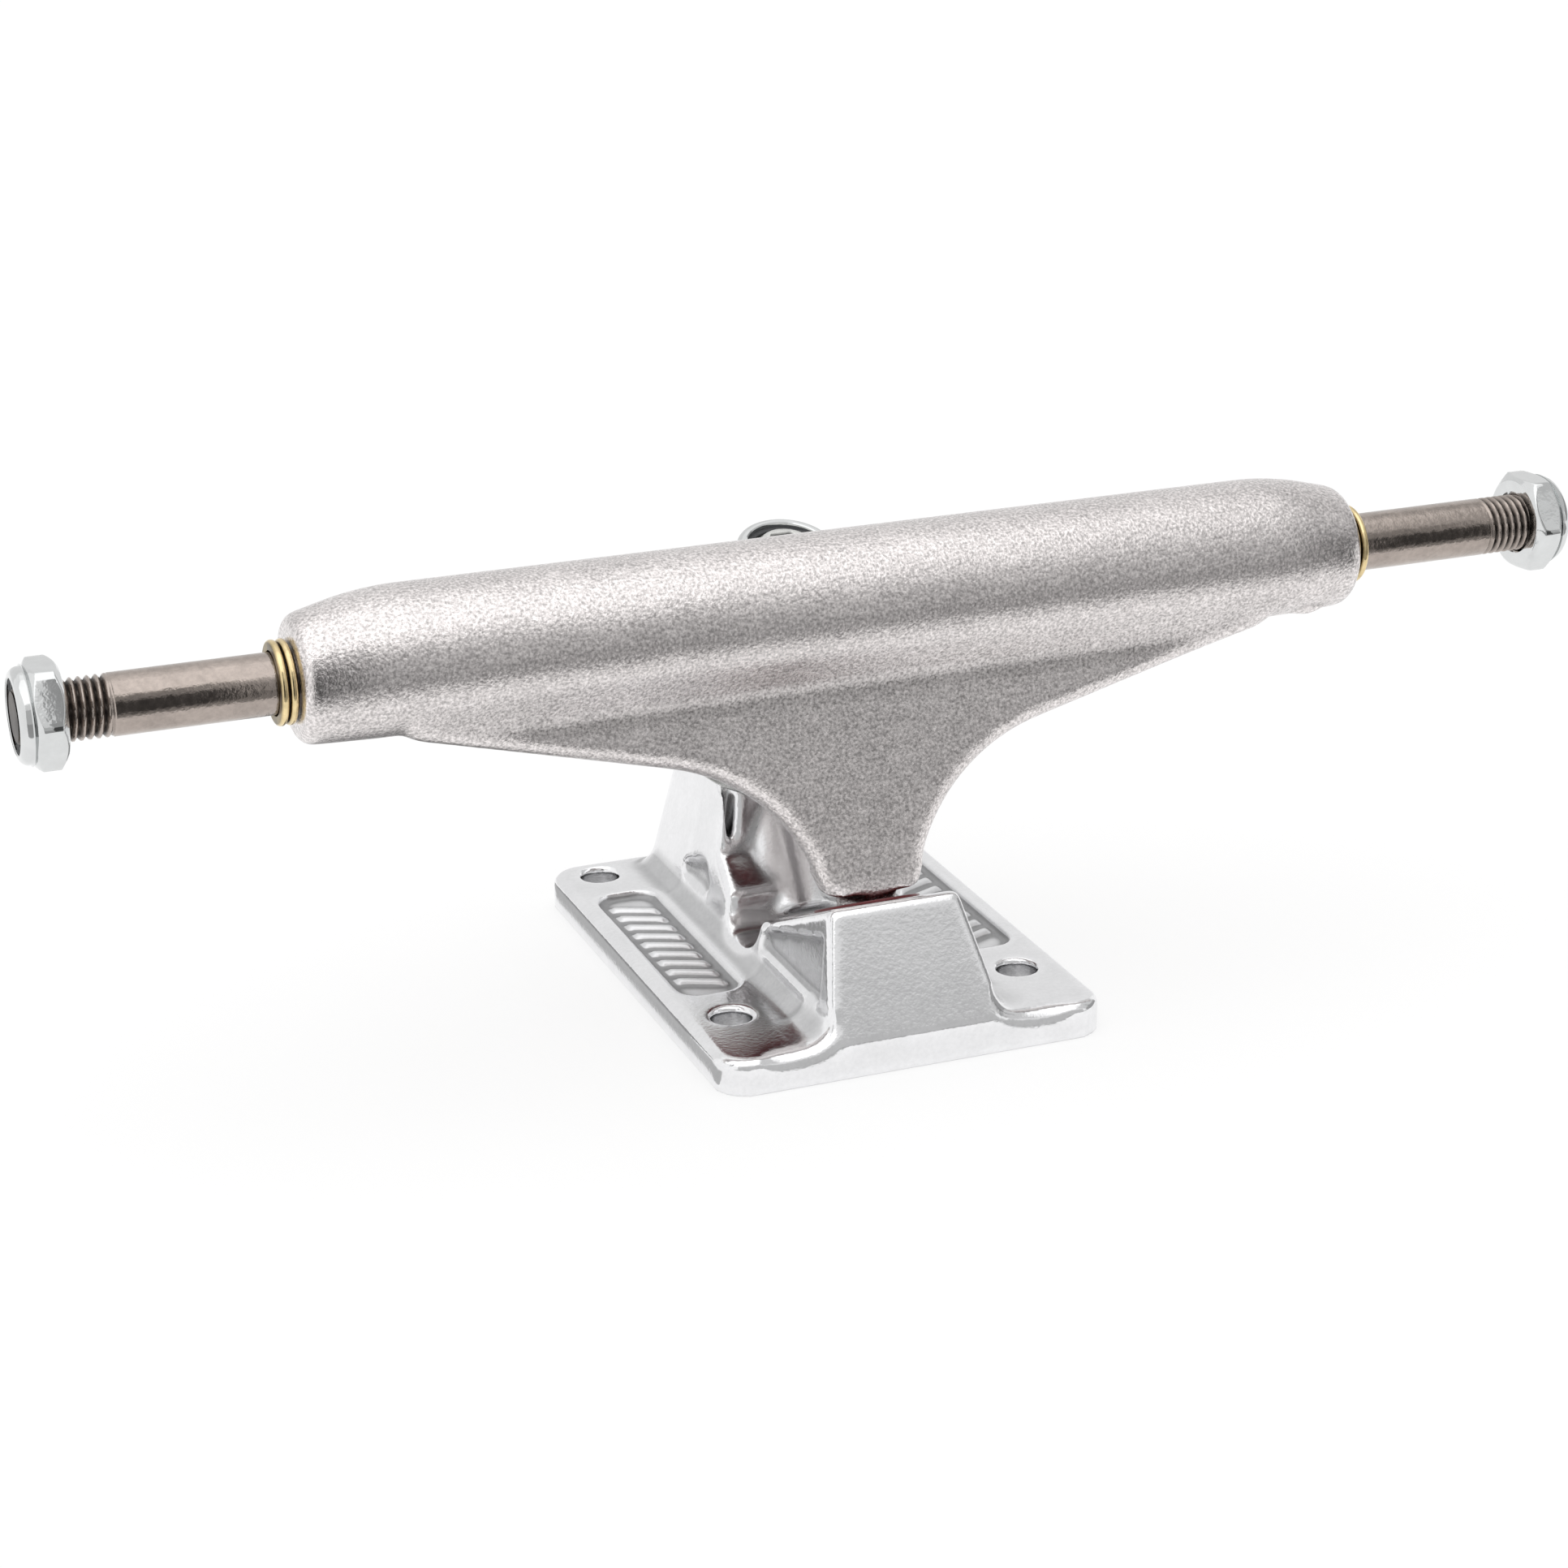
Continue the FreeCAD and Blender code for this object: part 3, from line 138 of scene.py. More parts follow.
# %% Grain: fine speckle with soft patches
def noise(tree, coordinates, size, detail=2.0, roughness=0.5):
    """Noise whose features are about size metres across."""
    made = add_node(tree, "TexNoise")
    feed(tree, made.inputs["Vector"], coordinates)
    feed(tree, made.inputs["Scale"], sum_of(tree, "DIVIDE", 1.0, size))
    made.inputs["Detail"].default_value = detail
    made.inputs["Roughness"].default_value = roughness
    return made.outputs["Fac"]


def make_grain_group():
    """Tone near 1, and a height from 0 to 1, both from fine speckle on larger patches."""
    tree, given, result = start_group(
        "CastingGrain",
        {"Grain Size": 0.0005, "Grain Contrast": 0.15, "Patch Size": 0.006, "Patch Contrast": 0.05},
        ("Tone", "Height"))
    place = add_node(tree, "TexCoord").outputs["Object"]
    low, high = 0.3, 0.7     # nearly all of the noise lies between these
    fine = spread(tree, noise(tree, place, given["Grain Size"], 3.0, 0.6), low, high, 0.0, 1.0)
    patch = spread(tree, noise(tree, place, given["Patch Size"], 3.0), low, high, 0.0, 1.0)
    centred = [sum_of(tree, "MULTIPLY", sum_of(tree, "SUBTRACT", part, 0.5), given[label])
               for part, label in ((fine, "Grain Contrast"), (patch, "Patch Contrast"))]
    tone = sum_of(tree, "ADD", 1.0, sum_of(tree, "MULTIPLY", 2.0, sum_of(tree, "ADD", *centred)))
    feed(tree, result["Tone"], tone)
    feed(tree, result["Height"], fine)
    return tree


GRAIN = make_grain_group()
print("node group:", GRAIN.name)


# %% [markdown]
# ## Rubbed edges, painted highlight and painted shade in hollows
# Tumbled and polished castings are smoother along their edges, where the stones or the wheel rub
# hardest, and duller in the hollows, where nothing reaches. Their edges are also painted brighter,
# partly for that wear and partly as a painted highlight, and their hollows are painted darker, as
# painted shade. The mesh code further on measures how far each point of a casting stands out from
# its surroundings, or lies below them, and keeps it as an attribute called rub_and_shade. On a
# turned piece the same attribute says how deep a point lies in a thread or under a rim, where
# shade is painted too. A second attribute, raw, marks places that no wheel reached at all.

# %% Edge group, with painted highlight and painted shade
# The same reach sets how deep a hollow lies before its painted shade is full.
RUB_AND_SHADE_REACH = 0.05         # in mm: a point that stands out this far is fully rubbed


def make_edge_and_shade_group():
    """Masks from 0 to 1 for edges (wear and painted highlight), hollows (painted shade) and raw
    places, read from the mesh's attributes.
    """
    tree, given, result = start_group(
        "RubbedEdges", {"Reach": RUB_AND_SHADE_REACH}, ("Edge", "Hollow Shade", "Raw"))
    rub_and_shade = add_node(tree, "Attribute", attribute_name="rub_and_shade").outputs["Fac"]
    feed(tree, result["Edge"], spread(tree, rub_and_shade, 0.0, given["Reach"], 0.0, 1.0))
    below = sum_of(tree, "MULTIPLY", rub_and_shade, -1.0)
    feed(tree, result["Hollow Shade"], spread(tree, below, 0.0, given["Reach"], 0.0, 1.0))
    feed(tree, result["Raw"], add_node(tree, "Attribute", attribute_name="raw").outputs["Fac"])
    return tree


EDGES_AND_SHADE = make_edge_and_shade_group()
print("node group:", EDGES_AND_SHADE.name)


# %% [markdown]
# ## Metal
# Bare metal has no paint: its colour is the tint of what it mirrors. One Principled shader with
# Metallic at 1 does for every metal here, and the two groups only shift its tint and roughness
# from point to point. Tumbled, polished, plated and rolled metal differ in these numbers alone.

# %% A metal made from the groups
def place_group(tree, group, numbers):
    made = tree.nodes.new("ShaderNodeGroup")
    made.node_tree = group
    for label, number in numbers.items():
        made.inputs[label].default_value = number
    return made.outputs


def tinted(tree, colour, tone):
    """A colour made lighter or darker by a tone near 1."""
    made = add_node(tree, "VectorMath", operation="SCALE")
    made.inputs[0].default_value = colour
    feed(tree, made.inputs["Scale"], tone)
    return made.outputs[0]


def new_material(name):
    material = bpy.data.materials.new(name)
    material.use_nodes = True
    tree = material.node_tree
    return material, tree, tree.nodes["Principled BSDF"]


def raise_grain(tree, shader, height, distance):
    """Let the grain stand up from the surface by a distance in metres."""
    relief = add_node(tree, "Bump")
    relief.inputs["Strength"].default_value = 1.0
    relief.inputs["Distance"].default_value = distance
    feed(tree, relief.inputs["Height"], height)
    feed(tree, shader.inputs["Normal"], relief.outputs["Normal"])


def metal(name, colour, roughness, grain, bump, wear_and_shade=None, rough_spread=0.1):
    """Bare or plated metal with grain; the dictionary of masks holds the tone and roughness that
    edges (wear and painted highlight), hollows (painted shade) and raw places add.
    """
    material, tree, shader = new_material(name)
    shader.inputs["Metallic"].default_value = 1.0
    speckle = place_group(tree, GRAIN, grain)
    tone = speckle["Tone"]
    rough = spread(tree, speckle["Height"], 0.0, 1.0,
                   roughness - rough_spread / 2, roughness + rough_spread / 2)
    # Edges get a brighter tone as wear and painted highlight; hollows get a darker tone as painted
    # shade.
    if wear_and_shade:
        masks = place_group(tree, EDGES_AND_SHADE, {})
        for label, (more_tone, more_rough) in wear_and_shade.items():
            tone = sum_of(tree, "ADD", tone, sum_of(tree, "MULTIPLY", masks[label], more_tone))
            rough = sum_of(tree, "ADD", rough, sum_of(tree, "MULTIPLY", masks[label], more_rough))
    feed(tree, shader.inputs["Base Color"], tinted(tree, colour, tone))
    feed(tree, shader.inputs["Roughness"], rough)
    raise_grain(tree, shader, speckle["Height"], bump)
    return material


# %% [markdown]
# ## Six metals
# The castings are aluminium, tumbled on the hanger and polished on the plate. The lock nuts are
# chromed, the kingpin and the cup washers are plated, and the speed washers are yellow zinc. The
# axle is plain rolled steel and has the darkest tint. Metals that share a group stay of one
# family, while a separate node tree for each would soon drift apart.

# %% The metals of this truck
def speckled(size, contrast, patch_size, patch_contrast):
    """Inputs for the grain group; both sizes are in metres."""
    return {"Grain Size": size, "Grain Contrast": contrast,
            "Patch Size": patch_size, "Patch Contrast": patch_contrast}


# On each metal the edge numbers brighten the edges, partly as wear and partly as painted highlight,
# and the hollow numbers darken the hollows as painted shade.
TUMBLED = metal("tumbled_aluminium", (0.645, 0.613, 0.606), 0.25,
                speckled(0.0004, 0.48, 0.007, 0.05), bump=0.000035,
                wear_and_shade={"Edge": (0.12, -0.05), "Hollow Shade": (-0.10, 0.05)})
POLISHED = metal("polished_aluminium", (0.83, 0.83, 0.84), 0.12,
                 speckled(0.0006, 0.03, 0.004, 0.03), bump=0.00001, rough_spread=0.04,
                 wear_and_shade={"Edge": (0.05, -0.02), "Hollow Shade": (-0.45, 0.12), "Raw": (-0.12, 0.24)})
CHROME = metal("chromed_steel", (0.70, 0.71, 0.71), 0.07,
               speckled(0.002, 0.03, 0.004, 0.02), bump=0.000012, rough_spread=0.04)
ZINC = metal("plated_steel", (0.72, 0.72, 0.70), 0.26,
             speckled(0.0007, 0.06, 0.003, 0.05), bump=0.00001,
             wear_and_shade={"Hollow Shade": (-0.85, 0.25)})
GOLD_ZINC = metal("yellow_zinc", (0.80, 0.64, 0.36), 0.14,
                  speckled(0.0009, 0.10, 0.003, 0.14), bump=0.00001,
                  wear_and_shade={"Hollow Shade": (-0.75, 0.2)})
DARK_STEEL = metal("axle_steel", (0.42, 0.365, 0.33), 0.16,
                   speckled(0.0008, 0.10, 0.004, 0.08), bump=0.00002,
                   wear_and_shade={"Hollow Shade": (-0.82, 0.3)})
print("metals:", [m.name for m in (TUMBLED, POLISHED, CHROME, ZINC, GOLD_ZINC, DARK_STEEL)])


# %% [markdown]
# ## Soft materials
# Bushings and the pivot cup are cast urethane: a deep, slightly glossy red with faint cloudiness
# and a little dust-dry roughness. The lock nuts hold a ring of dark nylon, which is duller. Both
# use the same grain as the metals, only softer, with a thin clear coat on the urethane for its
# wet shine.

# %% Urethane and nylon
def plastic(name, colour, roughness, grain, bump, coat=0.0, rough_spread=0.16):
    """Coloured plastic whose tone and roughness wander a little with its grain."""
    material, tree, shader = new_material(name)
    speckle = place_group(tree, GRAIN, grain)
    feed(tree, shader.inputs["Base Color"], tinted(tree, colour, speckle["Tone"]))
    feed(tree, shader.inputs["Roughness"],
         spread(tree, speckle["Height"], 0.0, 1.0,
                roughness - rough_spread / 2, roughness + rough_spread / 2))
    shader.inputs["Coat Weight"].default_value = coat
    raise_grain(tree, shader, speckle["Height"], bump)
    return material


URETHANE = plastic("red_urethane", (0.12, 0.006, 0.009), 0.38,
                   speckled(0.0008, 0.06, 0.005, 0.12), bump=0.00001, coat=0.2)
NYLON = plastic("dark_nylon", (0.05, 0.052, 0.055), 0.5,
                speckled(0.0006, 0.1, 0.002, 0.1), bump=0.00001)
print("soft materials:", URETHANE.name, NYLON.name)


# %% [markdown]
# ## Castings
# The hanger and the baseplate are sand or die cast and then tumbled, so no edge on them is sharp.
# Bevelling the CAD mesh edge by edge would miss the blends between its faces. A voxel remesh
# builds an even skin over the whole solid instead, and relaxing that skin rounds every edge and
# fills every inner corner a little, just as the casting and tumbling do.

# %% Put a piece in the scene
def add_piece(name, mesh, body, material, nodes):
    """Put a mesh in the scene as a piece that rides on a body and stands for CAD nodes."""
    piece = bpy.data.objects.new(name, mesh)
    scene.collection.objects.link(piece)
    mesh.materials.clear()
    mesh.materials.append(material)
    if body:
        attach(piece, body)
    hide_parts(*nodes)
    return piece


# %% Copy a solid and grow a skin over it
def welded_copy(name):
    """A CAD node's mesh with its doubled edges joined."""
    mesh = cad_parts[name].data.copy()
    shape = bmesh.new()
    shape.from_mesh(mesh)
    bmesh.ops.remove_doubles(shape, verts=shape.verts, dist=0.002 * MM)
    shape.to_mesh(mesh)
    shape.free()
    return mesh


def voxel_skin(mesh, voxel):
    """An even skin of small squares over a closed mesh."""
    carrier = bpy.data.objects.new("carrier", mesh)
    scene.collection.objects.link(carrier)
    remesh = carrier.modifiers.new("Skin", "REMESH")
    remesh.mode = "VOXEL"
    remesh.voxel_size = voxel
    remesh.use_smooth_shade = True
    graph = bpy.context.evaluated_depsgraph_get()
    skin = bpy.data.meshes.new_from_object(carrier.evaluated_get(graph))
    bpy.data.objects.remove(carrier)
    return skin


def read_points(mesh):
    spots = np.empty(len(mesh.vertices) * 3)
    mesh.vertices.foreach_get("co", spots)
    return spots.reshape(-1, 3)


def write_points(mesh, spots):
    mesh.vertices.foreach_set("co", spots.ravel())
    mesh.update()


# %% Relax a skin
PULL = 0.5               # how far towards its neighbours' middle a point moves in one round


def relax(mesh, spots, rounds, share):
    """Pull points towards the middle of their neighbours; share may differ from point to point."""
    ends = np.empty(len(mesh.edges) * 2, int)
    mesh.edges.foreach_get("vertices", ends)
    ends = ends.reshape(-1, 2)
    share = np.broadcast_to(share, len(spots))
    used, ends = np.unique(ends[(share[ends] > 0).any(1)], return_inverse=True)
    first, second = ends.reshape(-1, 2).T
    count = len(used)
    around = np.bincount(np.concatenate((first, second)), minlength=count)
    moving, share = spots[used], share[used]
    for _ in range(rounds):
        for axis in range(3):
            along = moving[:, axis]
            total = (np.bincount(first, along[second], count)
                     + np.bincount(second, along[first], count))
            moving[:, axis] = along + (total / around - along) * share
    spots = spots.copy()
    spots[used] = moving
    return spots


def within(spots, low, high, border):
    """1 inside a box in mm, falling to 0 over the border outside it."""
    spots = spots / MM
    outside = np.maximum(np.asarray(low) - spots, spots - np.asarray(high)).max(1)
    return np.clip(1 - outside / border, 0, 1)


# %% [markdown]
# ## Measuring what is rubbed and where shade is painted
# The Geometry node's Pointiness finds edges too, but its numbers depend on how dense the mesh is.
# Here the skin is smoothed a little further, and the distance from each point to its smoothed
# place, along its normal, says in millimetres how far it stands out. A mesh attribute keeps that
# number.

# %% Attributes on a mesh
def read_normals(mesh):
    normals = np.empty(len(mesh.vertices) * 3)
    mesh.vertex_normals.foreach_get("vector", normals)
    return normals.reshape(-1, 3)


def keep_attribute(mesh, name, numbers):
    kept = mesh.attributes.new(name, "FLOAT", "POINT")
    kept.data.foreach_set("value", numbers.astype(np.float32))


def mark_rub_and_shade(mesh, rounds=12):
    """Keep, as the attribute rub_and_shade, how far each point stands out from its smoothed
    surroundings; the materials paint highlight on the edges and shade in the hollows from it.
    """
    spots = read_points(mesh)
    out = ((spots - relax(mesh, spots, rounds, PULL)) * read_normals(mesh)).sum(1) / MM
    keep_attribute(mesh, "rub_and_shade", np.clip(out, -1, 1))
    return out


# %% [markdown]
# ## Hanger
# The hanger is one T-shaped aluminium casting: a round tube with the axle in it, and a
# three-sided web that runs down to the nose in the pivot cup. Its end faces are machined, so the
# relaxing fades out before it comes to them or to the axle's bore. The edges low on the neck are
# much rounder than the others, and that part is relaxed again for longer. Under the right end of
# the tube sits a small nub left by the mould. It is only a few points lifted along their normals.

# %% Cast the hanger
HANGER_VOXEL = 0.55 * MM
EDGE_ROUNDS, NECK_ROUNDS = 3, 36
END_FADE, BORE_EDGE = 1.5, 4.5
NECK_TOP, NECK_FADE, NOSE_TOP = 44.0, 14.0, 21.5
NUB_PLACE, NUB_REACH, NUB_HEIGHT = (67.2, -19.8, 47.8), (3.0, 1.4, 1.4), 0.8


def cast_hanger():
    skin = voxel_skin(welded_copy("hanger"), HANGER_VOXEL)
    spots = read_points(skin)
    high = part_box("hanger")[1]
    axle_low, axle_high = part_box("axle")
    middle = (axle_low + axle_high) / 2
    off_end = high.x - np.abs(spots[:, 0])
    off_axle = np.hypot(spots[:, 1] - middle.y, spots[:, 2] - middle.z)
    cast = (np.clip(off_end / (END_FADE * MM), 0, 1)
            * np.clip((off_axle - BORE_EDGE * MM) / MM, 0, 1))
    spots = relax(skin, spots, EDGE_ROUNDS, PULL * cast)
    neck = np.clip((NECK_TOP - spots[:, 2] / MM) / NECK_FADE, 0, 1)
    above_nose = np.clip(spots[:, 2] / MM - NOSE_TOP, 0, 1)
    spots = relax(skin, spots, NECK_ROUNDS, PULL * neck * above_nose)
    near = np.clip(1 - np.linalg.norm((spots / MM - NUB_PLACE) / NUB_REACH, axis=1), 0, 1)
    write_points(skin, spots)
    spots[near > 0] += read_normals(skin)[near > 0] * (NUB_HEIGHT * MM * near[near > 0, None])
    write_points(skin, spots)
    out = mark_rub_and_shade(skin)
    print("hanger skin:", len(skin.polygons), "faces; highest rub in mm:", round(out.max(), 3))
    return add_piece("cast_hanger", skin, "hanger_body", TUMBLED, ["hanger"])


cast_hanger()


# %% [markdown]
# ## Baseplate
# The baseplate is the brighter casting: it is polished, so it mirrors the room softly. It holds
# the pivot block in front, the kingpin block behind and two flanges with shallow panels. Its
# underside is flat for the deck, so points at height 0 don't move. The valley between the blocks
# and the feet of the pivot block run into the plate in wide curves, so each is relaxed for longer
# inside a box of its own. A wheel can't reach into the panels, and only partly into the valley,
# so these are marked raw.

# %% Cast the baseplate
BASEPLATE_VOXEL = 0.36 * MM
PLATE_ROUNDS, VALLEY_ROUNDS, FEET_ROUNDS = 4, 20, 110
VALLEY = (-14, -15, 6.5), (14, 14, 26)
FEET = (-20, -45, 2.6), (20, -33, 7.0)
BLOCK_SIDE, BLOCK_FADE = 10, 3
PLATE_TOP = 4.8
PANELS = (15.6, -1, 0), (24.4, 19, PLATE_TOP - 0.25)
VALLEY_RAW = 0.2


def cast_baseplate():
    skin = voxel_skin(welded_copy("baseplate"), BASEPLATE_VOXEL)
    spots = read_points(skin)
    off_deck = np.clip(spots[:, 2] / MM, 0, 1)
    spots = relax(skin, spots, PLATE_ROUNDS, PULL * off_deck)
    spots = relax(skin, spots, VALLEY_ROUNDS, PULL * within(spots, *VALLEY, border=2))
    beside_block = np.clip((np.abs(spots[:, 0]) / MM - BLOCK_SIDE) / BLOCK_FADE, 0, 1)
    spots = relax(skin, spots, FEET_ROUNDS, PULL * within(spots, *FEET, border=2) * beside_block)
    write_points(skin, spots)
    panels = within(np.abs(spots), *PANELS, border=0.2)
    keep_attribute(skin, "raw", np.maximum(panels, VALLEY_RAW * within(spots, *VALLEY, border=1)))
    out = mark_rub_and_shade(skin)
    print("baseplate skin:", len(skin.polygons), "faces; highest rub in mm:", round(out.max(), 3))
    return add_piece("cast_baseplate", skin, "base", POLISHED, ["baseplate"])


cast_baseplate()


# %% [markdown]
# ## Turned pieces
# Bolts, nuts and washers are turned or pressed about an axis. One small tool makes them all: a
# stack of rings of points, each with a height and one radius for every step round the axis. Equal
# radii give a lathe shape, six flats give a nut, and a radius that winds down with the angle
# gives a real helical thread.

# %% Rings of points
STEPS = 96
ANGLES = np.arange(STEPS) * 2 * math.pi / STEPS
SHARP_EDGE = math.radians(40)


def shell(rings, placement, closed):
    """Mesh through a stack of rings (height, radii); closed joins the last ring to the first."""
    points, faces = [], []
    for height, radii in rings:
        radii = np.broadcast_to(radii, STEPS)
        points += [Vector((r * math.cos(a), r * math.sin(a), height)) * MM
                   for r, a in zip(radii, ANGLES)]
    count = len(rings)
    for ring in range(count if closed else count - 1):
        here, there = ring * STEPS, (ring + 1) % count * STEPS
        for step in range(STEPS):
            following = (step + 1) % STEPS
            faces.append((here + step, here + following, there + following, there + step))
    if not closed:
        for start, direction in ((0, -1), ((count - 1) * STEPS, 1)):
            faces.append(tuple(start + step for step in range(STEPS))[::direction])
    mesh = bpy.data.meshes.new("shell")
    mesh.from_pydata(points, [], faces)
    mesh.transform(placement)
    shape = bmesh.new()
    shape.from_mesh(mesh)
    bmesh.ops.recalc_face_normals(shape, faces=shape.faces)
    for face in shape.faces:
        face.smooth = True
    for edge in shape.edges:
        edge.smooth = len(edge.link_faces) == 2 and edge.calc_face_angle() < SHARP_EDGE
    shape.to_mesh(mesh)
    shape.free()
    return mesh


# %% [markdown]
# ## Rounded sections
# No turned edge is quite sharp. A Bevel modifier would round all edges of a piece alike. Here
# each corner of a half section has its own rounding instead, from a tenth of a millimetre at a
# bore to two on a bushing, and an arc is drawn through it.

# %% Sections with rounded corners
ARC_PARTS = 6
MOST_OF_HALF = 0.49      # two roundings on one side never meet


def rounded_line(corners):
    """Points along a line of corners (radius, height, rounding), each corner turned on its arc."""
    spots = [Vector(corner[:2]) for corner in corners]
    line = []
    for index, corner in enumerate(corners):
        rounding = corner[2] if len(corner) > 2 else 0
        if not rounding:
            line.append(tuple(spots[index]))
            continue
        back = spots[index - 1] - spots[index]
        ahead = spots[(index + 1) % len(spots)] - spots[index]
        half = back.angle(ahead) / 2
        reach = min(rounding / math.tan(half),
                    MOST_OF_HALF * back.length, MOST_OF_HALF * ahead.length)
        rounding = reach * math.tan(half)
        start, end = (spots[index] + side.normalized() * reach for side in (back, ahead))
        inwards = (back.normalized() + ahead.normalized()).normalized()
        centre = spots[index] + inwards * (rounding / math.sin(half))
        for part in range(ARC_PARTS + 1):
            swing = (start - centre).lerp(end - centre, part / ARC_PARTS)
            line.append(tuple(centre + swing.normalized() * rounding))
    return line


def turned(corners, placement, closed=True):
    """Lathe shape from the corners of half its section."""
    return shell([(height, radius) for radius, height in rounded_line(corners)], placement, closed)


# %% [markdown]
# ## Painted shade in the hollows of a turned piece
# On a round piece a hollow is easy to find, because it lies nearer to the axis than the outer
# surface does. The points are turned back to where they were made, and each one's distance from
# the axis is set against an unshaded radius, below which the materials paint shade. No skin has
# to be smoothed for it, as on a casting.

# %% Painted shade in the hollows of a turned piece
def mark_shaded_hollows(mesh, placement, unshaded_radius, depth, unshaded_above=None):
    """Keep, as rub_and_shade, how deep each point lies inside the unshaded radius round the piece's
    axis, where the materials paint shade.
    """
    turned_back = np.array(placement.inverted())
    local = (read_points(mesh) @ turned_back[:3, :3].T + turned_back[:3, 3]) / MM
    below = np.clip((np.hypot(local[:, 0], local[:, 1]) - unshaded_radius) / depth, -1, 0)
    if unshaded_above is not None:
        below[local[:, 2] > unshaded_above] = 0
    keep_attribute(mesh, "rub_and_shade", RUB_AND_SHADE_REACH * below)


# %% [markdown]
# ## Two axes
# Nearly every turned piece stands on one of two lines: the axle, which runs straight across, and
# the kingpin, which leans 18 degrees over its seat on the baseplate. Each line is kept as a
# placement, so a piece is made upright at the origin, in plain heights and radii, and then put
# there in one move.

# %% Where the two axes stand
KINGPIN_LEAN = math.radians(18)
SEAT = Vector((0, 14.55, 25.1)) * MM
AXLE_LOW, AXLE_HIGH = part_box("axle")
AXLE_MIDDLE = (AXLE_LOW + AXLE_HIGH) / 2
ON_KINGPIN = Matrix.Translation(SEAT) @ Matrix.Rotation(KINGPIN_LEAN, 4, "X")


def on_axle(side):
    """Placement whose Z axis runs along the axle, outwards on one side."""
    return Matrix.Translation(AXLE_MIDDLE) @ Matrix.Rotation(side * math.pi / 2, 4, "Y")


print("axle middle in mm:", [round(c / MM, 2) for c in AXLE_MIDDLE])


# %% [markdown]
# ## Axle
# The axle is a steel rod with a rolled 5/16 inch thread at each end. A thread is a V-groove that
# climbs one pitch per turn. On a stack of rings that is a radius that depends on height minus
# angle, so the rings near the ends stand close together, ten to a pitch. A Screw modifier could
# wind the groove too, but it wouldn't fade in at the thread's start or join on to the plain rod.

# %% Rings of a thread
THREAD_PITCH, THREAD_DEPTH = 1.058, 0.55
THREAD_FADE = 0.8        # in mm: the length over which the groove comes in
RINGS_PER_PITCH = 10
CREST_WIDTH, ROOT_WIDTH = 1.25, 0.05     # above 1 flattens the crests; above 0 flattens the roots


def thread_radii(height, crest, fade=1.0):
    """Radii of one ring of a helical thread: flat crests, V-grooves, fading in at its start."""
    turn = (height / THREAD_PITCH - ANGLES / (2 * math.pi)) % 1
    wave = np.clip(np.abs(2 * turn - 1) * CREST_WIDTH - ROOT_WIDTH, 0, 1)
    return crest - THREAD_DEPTH * (1 - wave) * fade


def threaded(low, high, start, crest):
    """Rings from low to high of a thread whose groove begins at start."""
    return [(height, thread_radii(height, crest, min(1, (height - start) / THREAD_FADE)))
            for height in np.arange(low, high, THREAD_PITCH / RINGS_PER_PITCH)]


# %% Turn the axle
def make_axle():
    shaft, crest, core = 3.97, 3.95, 4.1
    journal_end, core_end, journal_step = 96.4, 73.4, 2.0
    tip = (AXLE_HIGH.x - AXLE_LOW.x) / 2 / MM
    rim = tip - 0.15
    half = [(core_end - 0.05, core), (core_end, core - 0.05), (core_end, shaft)]
    half += [(height, shaft)
             for height in np.arange(core_end + journal_step, journal_end, journal_step)]
    half += [(journal_end, shaft), (journal_end + 0.1, shaft - 0.1)]
    half += threaded(journal_end + 0.25, tip - 0.6, journal_end, crest)
    half += [(rim, thread_radii(rim, crest) - 0.45), (tip, crest - 0.8)]
    rings = [(-height, radii) for height, radii in reversed(half)] + half
    mesh = shell(rings, on_axle(1), closed=False)
    # The thread's grooves get painted shade.
    mark_shaded_hollows(mesh, on_axle(1), unshaded_radius=crest - 0.08, depth=0.35)
    return add_piece("axle_rod", mesh, "hanger_body", DARK_STEEL, ["axle"])


AXLE = make_axle()
print("axle faces:", len(AXLE.data.polygons))


# %% [markdown]
# ## Lock nuts
# A lock nut is a hexagon with both ends bevelled by a cone, and a round collar rolled over a
# nylon ring. Where the cone meets the flats it leaves the curved scallops that make a nut look
# like one, and taking the smaller of two radii gives just that curve. A soft minimum rounds the
# edges. Cutting a hexagon with a cone by a Boolean modifier would give the same curve with hard
# edges.

# %% A hexagon with soft corners
def soft_least(first, second, softness):
    """The smaller of two numbers, with a rounded change-over."""
    return -softness * np.logaddexp(-first / softness, -second / softness)


def corner_radius(flats):
    return flats / 2 / math.cos(math.pi / 6)


def hexagon_radii(flats, softness=0.12):
    """Radius of a hexagon with rounded corners at every step round the axis."""
    far, edge_on = 1e3, 0.2
    radii = np.full(STEPS, far)
    for side in range(6):
        facing = np.cos(ANGLES - side * math.pi / 3)
        reach = np.where(facing > edge_on, flats / 2 / np.maximum(facing, edge_on), far)
        radii = soft_least(radii, reach, softness)
    return radii


# %% Rings of a lock nut
NUT_CONE = 1.35          # how fast the bevel's radius grows with height
CONE_RINGS, CONE_SOFTNESS = 12, 0.06
BORE_BEVEL, FILLET, STEP_UP = 0.35, 0.25, 0.02
QUARTER_TURN = math.pi / 2


